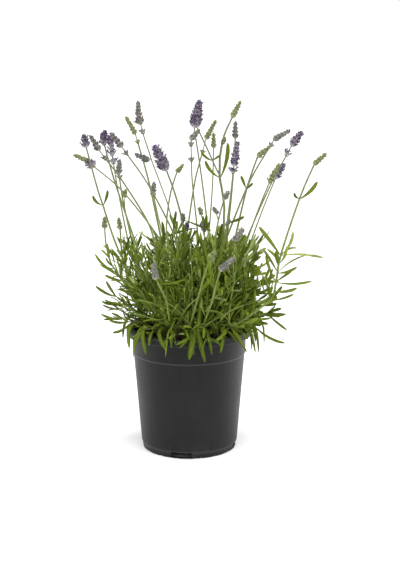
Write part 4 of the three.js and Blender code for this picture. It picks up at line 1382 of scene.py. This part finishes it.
def spots_along(chains):
    """Places on the leafy stretches of stems, with the way the stem runs there."""
    spots = []
    for chain in chains:
        s = 2 * MM
        while s < chain.length - 6 * MM:
            spots.append(chain.at(s))
            s += 4 * MM
    return spots


def front_cost(place, pixel):
    """How far a place shows from a pixel, with a little for how far back it lies."""
    return (pixel_of(place) - Vector(pixel)).length + 0.06 * place.y / MM


def edge_leaf(lines, spots, tip_pixel, foot_pixel, rise, half, tint):
    """A leaf from the stem nearest to one pixel of the photograph, with its tip at another."""
    foot, run = min(spots, key=lambda spot: front_cost(spot[0], foot_pixel))
    tip = place_of(tip_pixel, foot.y - 4 * MM)
    way = tip - foot
    wide = foot.lerp(tip, LEAF_WAIST) + UP * rise * way.length
    upper = (run + Vector((0, -0.8, 0.2))).normalized()
    add_blade(lines, arc(foot, wide, tip), upper, half * MM, tint)


def over_rim(pixel, out):
    """The place that shows at a pixel on the front of an upright cylinder round the pot's axis."""
    rough = place_of(pixel, -out)
    return place_of(pixel, -math.sqrt(max(0, out * out - rough.x * rough.x)))


def hanging_leaf(sprigs, wide, tip, half):
    """A leaf that bends over the rim at one place, down to another, from the stem that is nearest inside."""
    start = Vector((0.72 * wide.x, 0.72 * wide.y, POT_TOP + 12 * MM))
    ends = [(place, sprig) for sprig in sprigs for place, run in sprig.spots]
    foot, sprig = min(ends, key=lambda end: (end[0] - start).length)
    outward = Vector((wide.x, wide.y, 0)).normalized()
    upper = UP + outward * 0.6 + FRONTWARD * 0.7 * abs(outward.x)
    upper += outward.cross(UP) * sprig.pick.gauss(0, 0.3)
    tint = RIM_TONE[0] + sprig.pick.gauss(0, RIM_TONE[1])
    add_blade(sprig.lines, arc(foot, wide, tip), upper.normalized(), half, tint)


def hang_leaves(sprigs):
    """The leaves over the rim: those of the photograph in front, and others at the sides and behind."""
    pick = random.Random(RIM_SEED)
    for tip_pixel, crossing_pixel, half in HANGING_LEAVES:
        wide = over_rim(crossing_pixel, POT_LIP)
        wide.z = max(wide.z, POT_TOP + HANGING_RISE * pick.uniform(0.6, 1.1))
        hanging_leaf(sprigs, wide, over_rim(tip_pixel, POT_LIP + HANGING_STAND_OFF), half * MM)
    for azimuth in BACK_LEAVES:
        turn = Matrix.Rotation(math.radians(azimuth), 3, "Z")
        wide = turn @ Vector((POT_LIP, 0, POT_TOP + HANGING_RISE * pick.uniform(0.6, 1.1)))
        aside = POT_LIP * pick.gauss(0, 0.12)
        tip = turn @ Vector((POT_LIP + HANGING_STAND_OFF, aside, POT_TOP - pick.uniform(*BACK_DROP)))
        hanging_leaf(sprigs, wide, tip, pick.uniform(1.8, 3.0) * MM)


def add_front_shoots(sprigs):
    """The shoots that stand in front of the bush, each from the stem that is nearest below it."""
    for pixels in FRONT_SHOOTS:
        share = [i / (len(pixels) - 1) for i in range(len(pixels))]
        depths = [-SHOOT_DEPTH[0] * (1 - s) - SHOOT_DEPTH[1] * s for s in share]
        points = [place_of(pixel, depth) for pixel, depth in zip(pixels, depths)]
        ends = [(place, sprig) for sprig in sprigs for place, run in sprig.spots if place.z < points[-1].z]
        foot, sprig = min(ends, key=lambda end: (end[0] - points[-1]).length)
        girths = [SHOOT_GIRTH[0] * (1 - s) + SHOOT_GIRTH[1] * s for s in share]
        shoot = Chain([*points, foot], [*girths, girths[-1]])
        sprig.young.append(shoot)
        mark_stalk(shoot)


def nearest_run(chains, place):
    """The way the nearest stem runs."""
    spots = [(chain, i) for chain in chains for i in range(len(chain.points))]
    chain, i = min(spots, key=lambda spot: (spot[0].points[spot[1]] - place).length)
    return chain.at(chain.lengths[i])[1]


def stem_lines(chains, base_foot, base_top, pick):
    lines = Lines()
    lines.add([base_foot, base_foot.lerp(base_top, 0.5), base_top], girth=list(BASE_GIRTHS))
    for chain in chains:
        slimming = pick.uniform(*STALK_SLIMMING)
        radii = [radius * slimming for radius in chain.radii]
        lines.add(chain.points, girth=radii)
    return lines


def sprig_tree():
    """Sweeps the stems and leaves of one leafy stem along their lines."""
    tree, sizes = geometry_tree("leafy sprig", {
        "Stem lines": None, "Leaf lines": None, "Leaf section": None,
        "Stem sides": STEM_SIDES, "Stem step": STEM_STEP,
    })
    stem = line_of(tree, sizes["Stem lines"])
    eased = node(tree, "GeometryNodeCurveSplineType", {"spline_type": "CATMULL_ROM"}, {"Curve": stem})
    steps = {"Curve": eased, "Length": sizes["Stem step"]}
    stepped = node(tree, "GeometryNodeResampleCurve", {"mode": "LENGTH"}, steps)
    stems = swept(tree, stepped, circle(tree, sizes["Stem sides"]), value_of(tree, "girth"))
    leaves = swept_blades(tree, sizes["Leaf lines"], sizes["Leaf section"], LEAF_OUTLINE)
    parts = ((stems, "stem"), (leaves, "leaf"))
    end_tree(tree, *[coated(tree, smooth(tree, part), finish) for part, finish in parts])
    return tree


def leaf_section():
    lines = Lines()
    for up, across in LEAF_SECTION:
        lines.add([Vector((up, across, 0))], across=float(across), under=float(up < 0 and abs(across) < 0.9))
    lines.edges = [(i, i + 1) for i in range(len(LEAF_SECTION) - 1)]
    return lines.as_object("leaf_section", closed=True)


class Sprig:
    """One leafy stem, read from its solid, with young shoots added."""

    def __init__(self, name, number):
        self.name = name
        self.pick = random.Random(number)
        shape = solid_of(name)
        self.leaves = read_leaves(shape)
        self.foot = middle_of(sorted(shape.verts, key=lambda vert: vert.co.z)[:4])
        self.own = read_chains(shape, self.foot + UP * STEM_FOOT)
        shape.free()
        self.young = young_shoots(self.foot + UP * YOUNG_FOOT, self.pick)
        self.spots = spots_along(self.own + self.young)
        if name in FRONT_STALKS:
            mark_stalk(self.own[0])

    def grow_leaves(self):
        self.lines = leaf_lines(self.leaves, self.own + self.young, self.pick)


def add_stems():
    """The leafy stems, and the single leaves that the photograph shows, each on the stem that is nearest."""
    tree = sprig_tree()
    section = leaf_section()
    names = sorted(name for name in frame["nodes"] if name.startswith("leafy_stem"))
    sprigs = [Sprig(name, number) for number, name in enumerate(names)]
    add_front_shoots(sprigs)
    for sprig in sprigs:
        sprig.grow_leaves()
    for rows, tone in ((EDGE_LEAVES, LIGHT_TONE), (DARK_LEAVES, DARK_TONE)):
        for tip, foot, rise, half in rows:
            sprig = min(sprigs, key=lambda one: min(front_cost(place, foot) for place, run in one.spots))
            tint = tone + sprig.pick.gauss(0, SINGLE_SPREAD)
            edge_leaf(sprig.lines, sprig.spots, tip, foot, rise, half, tint)
    hang_leaves(sprigs)
    for sprig in sprigs:
        top = sprig.foot + UP * BASE_HEIGHT
        lines = stem_lines(sprig.own + sprig.young, sprig.foot, top, sprig.pick)
        stems = lines.as_object("stem_lines")
        blades = sprig.lines.as_object("leaf_lines")
        mesh = grow(tree, Stem_lines=stems, Leaf_lines=blades, Leaf_section=section)
        discard(stems, blades)
        add_piece(sprig.name.replace("leafy_stem", "leafy_sprig"), mesh, "leaf", sprig.name)
    discard(section)
    return [spot for sprig in sprigs for spot in sprig.spots]


# Flower heads

def head_rings(shape):
    """A head's rings of five points from its foot up, and its tip."""
    for tip in shape.verts:
        rings = [[tip]]
        seen = {tip}
        while True:
            below = {other for vert in rings[-1] for other in neighbours(vert)} - seen
            if not below:
                break
            rings.append(in_order(below))
            seen |= below
        if len(rings) > 3 and all(len(ring) == 5 for ring in rings[1:]):
            return rings[:0:-1], tip.co.copy()
    raise ValueError("this solid has no tip over rings of five")


class Spike:
    """Where the calyces, open flowers, bracts and rachis of one head go."""

    def __init__(self, slot, pick, paleness=0):
        self.slot = slot
        self.pick = pick
        self.paleness = paleness
        self.calyces, self.flowers, self.bracts, self.rachis = (Lines() for _ in range(4))

    def add_calyx(self, foot, end, width):
        aim = end - foot
        size = Vector((width, width, aim.length))
        self.calyces.add([foot], aim=aim.normalized(), size=size, tint=self.pick.random() + self.paleness)

    def add_whorl(self, centre, run, radius, turn, fullness, rows=CALYX_ROWS):
        """Rows of calyces round the stem, some with an open flower, over a pair of small bracts."""
        florets, reach, half = HEADS[self.slot]
        pick = self.pick
        drop = CALYX_DROP[0] + CALYX_DROP[1] * radius
        half *= 0.6 + 0.4 * fullness
        for row, (spread, rise, depth) in enumerate(rows):
            count = max(3, max(5, round(florets * fullness)) - 2 * row)
            for k in range(count):
                out = out_from(run, turn + math.tau * (k + 0.5 * row) / count + pick.gauss(0, 0.14))
                foot = centre - run * drop * depth + out * 0.25 * radius * spread
                end = centre + out * radius * reach * spread * pick.uniform(0.84, 1.1)
                end += run * (rise * drop + pick.uniform(-0.7, 1.0) * MM)
                self.add_calyx(foot, end, half * pick.uniform(0.85, 1.15))
                if self.slot == "violet_flower" and pick.random() < OPEN_FLOWERS:
                    aim = ((end - foot).normalized() + out * 0.3).normalized()
                    self.flowers.add([end], aim=aim, size=Vector((1, 1, 1)) * pick.uniform(0.85, 1.3))
        for k in range(2):
            out = out_from(run, turn + math.pi * k)
            foot = centre - run * drop + out * 0.4 * MM
            wide = foot + out * 1.6 * MM + run * 0.4 * MM
            tip = wide + out * 0.9 * MM + run * 1.6 * MM
            add_blade(self.bracts, arc(foot, wide, tip), run, 1.3 * MM, 0.4)

    def add_tuft(self, top, tip, turn, spread=1.1 * MM):
        """The last few calyces, which close the head."""
        half = HEADS[self.slot][2]
        run = (tip - top).normalized()
        for k in range(TUFT_CALYCES):
            out = out_from(run, turn + math.tau * k / TUFT_CALYCES)
            foot = top - run * 1.2 * MM + out * 0.3 * MM
            self.add_calyx(foot, tip + out * spread - run * 0.5 * MM * k, half)

    def grow(self, tree, name, *replaced, **shapes):
        parts = {
            "Calyx_points": self.calyces, "Flower_points": self.flowers,
            "Bract_lines": self.bracts, "Rachis_line": self.rachis,
        }
        parts = {label: lines.as_object("head_part") for label, lines in parts.items()}
        mesh = grow(tree, **parts, **shapes)
        discard(*parts.values())
        add_piece(name, mesh, self.slot, *replaced)


def read_spike(name, slot, pick):
    """A head read from its solid, with a whorl wherever its rings swell, and its lone open whorl apart."""
    spike = Spike(slot, pick, PALENESS if int(name[-2:]) in PALE_HEADS else 0)
    opened = Spike("violet_flower", pick, PALENESS)
    shape = solid_of(name)
    rings, tip = head_rings(shape)
    centres = [middle_of(ring) for ring in rings]
    radii = [sum((vert.co - centre).length for vert in ring) / 5 for ring, centre in zip(rings, centres)]
    shape.free()
    spike.rachis.add([*centres, tip - (tip - centres[-1]) * 0.4], girth=[0.8 * MM] * (len(centres) + 1))
    turn = pick.uniform(0, math.tau)
    above = [*radii[1:], 0]
    crowded = [i for i in range(1, len(radii)) if max(radii[i - 1], above[i]) >= LONE_WHORL]
    fullest = max(crowded, key=lambda i: radii[i], default=len(radii) - 1)
    widest = radii[fullest]
    for i in range(1, len(centres)):
        if radii[i] < radii[i - 1] or radii[i] < above[i]:
            continue
        run = (centres[i] - centres[i - 1]).normalized()
        turn += WHORL_TURN
        is_lone = i not in crowded and (i < fullest or not crowded)
        whorled = opened if is_lone and slot == "green_bud" and radii[i] > BIG_WHORL else spike
        if not is_lone:
            fullness, rows = 0.6 + 0.4 * radii[i] / max(radii), CALYX_ROWS
            radii[i] += BLUNTNESS * (widest - radii[i])
        elif radii[i] > BIG_WHORL:
            fullness, rows = 1.0, BIG_ROWS
        else:
            fullness, rows = 0.6, LONE_ROWS
        whorled.add_whorl(centres[i], run, radii[i], turn, fullness, rows)
    spike.add_tuft(centres[-1], tip, turn, TUFT_SPREAD * widest)
    return spike, opened


def spot_cost(place, wanted):
    """How badly a stem's place suits a head at a pixel: far to its side, far below it, or far back."""
    off = pixel_of(place) - wanted
    return abs(off.x) + 0.3 * off.y + 0.12 * place.y / MM


def young_spike(pixel, slot, spots, pick):
    """A small head on a thin stalk, which grows from the stem nearest below a pixel of the photograph."""
    spike = Spike(slot, pick)
    wanted = Vector(pixel)

    def is_near(place):
        shown = pixel_of(place)
        return (shown - wanted).length < YOUNG_REACH and shown.y > wanted.y + YOUNG_DROP

    near = [spot for spot in spots if is_near(spot[0])]
    foot, run = min(near, key=lambda spot: spot_cost(spot[0], wanted))
    tip = place_of(pixel, foot.y - 3 * MM)
    stalk = arc(foot, foot.lerp(tip, 0.5) + run * 2 * MM, tip, 0.5)
    spike.rachis.add(stalk, girth=[0.75 * MM - 0.03 * MM * i for i in range(len(stalk))])
    way = (tip - stalk[-2]).normalized()
    turn = pick.uniform(0, math.tau)
    for k, radius in enumerate(YOUNG_WHORLS):
        spike.add_whorl(tip - way * (7.5 - 2.8 * k) * MM, way, radius, turn + 0.5 * k, 0.7)
    spike.add_tuft(tip - way * 2 * MM, tip, turn)
    return spike


def corolla():
    """One open flower: a short tube and five rounded lobes, the upper two larger."""
    shape = bmesh.new()
    along = shape.verts.layers.float.new("along")
    for k, size in enumerate(LOBES):
        centre = math.tau * (k + 0.5) / len(LOBES)
        rows = []
        for share, radius, z, width in LOBE_ROWS:
            radius = TUBE_RADIUS + (radius - TUBE_RADIUS) * size
            row = []
            for step in (-1, 0, 1):
                angle = centre + step * width
                lift = z + (LOBE_CREASE if step == 0 else 0)
                out = radius * MM
                vert = shape.verts.new((out * math.cos(angle), out * math.sin(angle), lift * MM))
                vert[along] = share
                row.append(vert)
            rows.append(row)
        for low, high in zip(rows, rows[1:]):
            for j in range(2):
                shape.faces.new((low[j], low[j + 1], high[j + 1], high[j]))
    bmesh.ops.solidify(shape, geom=shape.faces[:], thickness=PETAL_THICKNESS)
    bmesh.ops.recalc_face_normals(shape, faces=shape.faces[:])
    return place_object("corolla", mesh_of(shape, "corolla"))


def head_tree(slot):
    """Sets ribbed calyces with their closed buds, and open flowers, along one head."""
    tree, sizes = geometry_tree(f"head of {slot}", {
        "Calyx points": None, "Flower points": None, "Bract lines": None, "Rachis line": None,
        "Corolla": None, "Leaf section": None, "Calyx sides": CALYX_SIDES, "Calyx rings": CALYX_RINGS,
    })
    along = node(tree, "GeometryNodeSplineParameter", None, None, "Factor")
    line = node(tree, "GeometryNodeCurvePrimitiveLine", None, {"Start": (0, 0, 0), "End": (0, 0, 1)})
    spine = node(tree, "GeometryNodeResampleCurve", None, {"Curve": line, "Count": sizes["Calyx rings"]})
    marked = stored(tree, spine, "along", along)
    ring = circle(tree, sizes["Calyx sides"])
    calyx = swept(tree, marked, stored(tree, ring, "around", along), width_at(tree, CALYX_OUTLINE))

    def along_aims(points, shape):
        aim = value_of(tree, "aim", "FLOAT_VECTOR")
        turn = node(tree, "FunctionNodeAlignRotationToVector", {"axis": "Z"}, {"Vector": aim})
        size = value_of(tree, "size", "FLOAT_VECTOR")
        return set_out(tree, shape_of(tree, sizes[points]), shape, turn, size)

    rachis = swept(tree, line_of(tree, sizes["Rachis line"]), ring, value_of(tree, "girth"))
    bracts = swept_blades(tree, sizes["Bract lines"], sizes["Leaf section"], BRACT_OUTLINE)
    parts = (
        (along_aims("Calyx points", calyx), slot),
        (along_aims("Flower points", shape_of(tree, sizes["Corolla"])), "petal"),
        (rachis, "stem"),
        (bracts, "leaf"),
    )
    end_tree(tree, *[coated(tree, smooth(tree, part), finish) for part, finish in parts])
    return tree


def add_heads(spots):
    """A spike for each head's solid, and the small young ones, each on the stem that is nearest."""
    slots = {part["node"]: part["material_slot"] for part in frame["record"]["subparts"]}
    trees = {slot: head_tree(slot) for slot in HEADS}
    shapes = {"Corolla": corolla(), "Leaf_section": leaf_section()}
    names = sorted(name for name in frame["nodes"] if name.startswith("flower_head"))
    for number, name in enumerate(names):
        spike, opened = read_spike(name, slots[name], random.Random(HEAD_SEED + number))
        base = spike.rachis.points[0]
        carrier = min((spot[0] for spot in spots), key=lambda place: (place - base).length)
        spike.rachis.add([carrier, base], girth=0.9 * MM)
        title = name.replace("flower_head", "flower_spike")
        spike.grow(trees[spike.slot], title, name, **shapes)
        if opened.calyces.points:
            opened.grow(trees[opened.slot], f"{title}_whorl", **shapes)
    for number, (pixel, slot) in enumerate(YOUNG_HEADS):
        spike = young_spike(pixel, slot, spots, random.Random(YOUNG_SEED + number))
        spike.grow(trees[slot], f"young_spike_{number + 1:02d}", **shapes)
    discard(*shapes.values())


POT_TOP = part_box("pot")[1].z
POT_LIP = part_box("pot")[1].x
SOIL_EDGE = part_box("potting_soil")[1].x
SOIL_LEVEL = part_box("potting_soil")[1].z
POT_COLLAR = SOIL_EDGE + 2 * MM

add_camera()
add_light()
add_floor()
add_pot()
add_soil()
add_heads(add_stems())

bpy.context.view_layer.update()
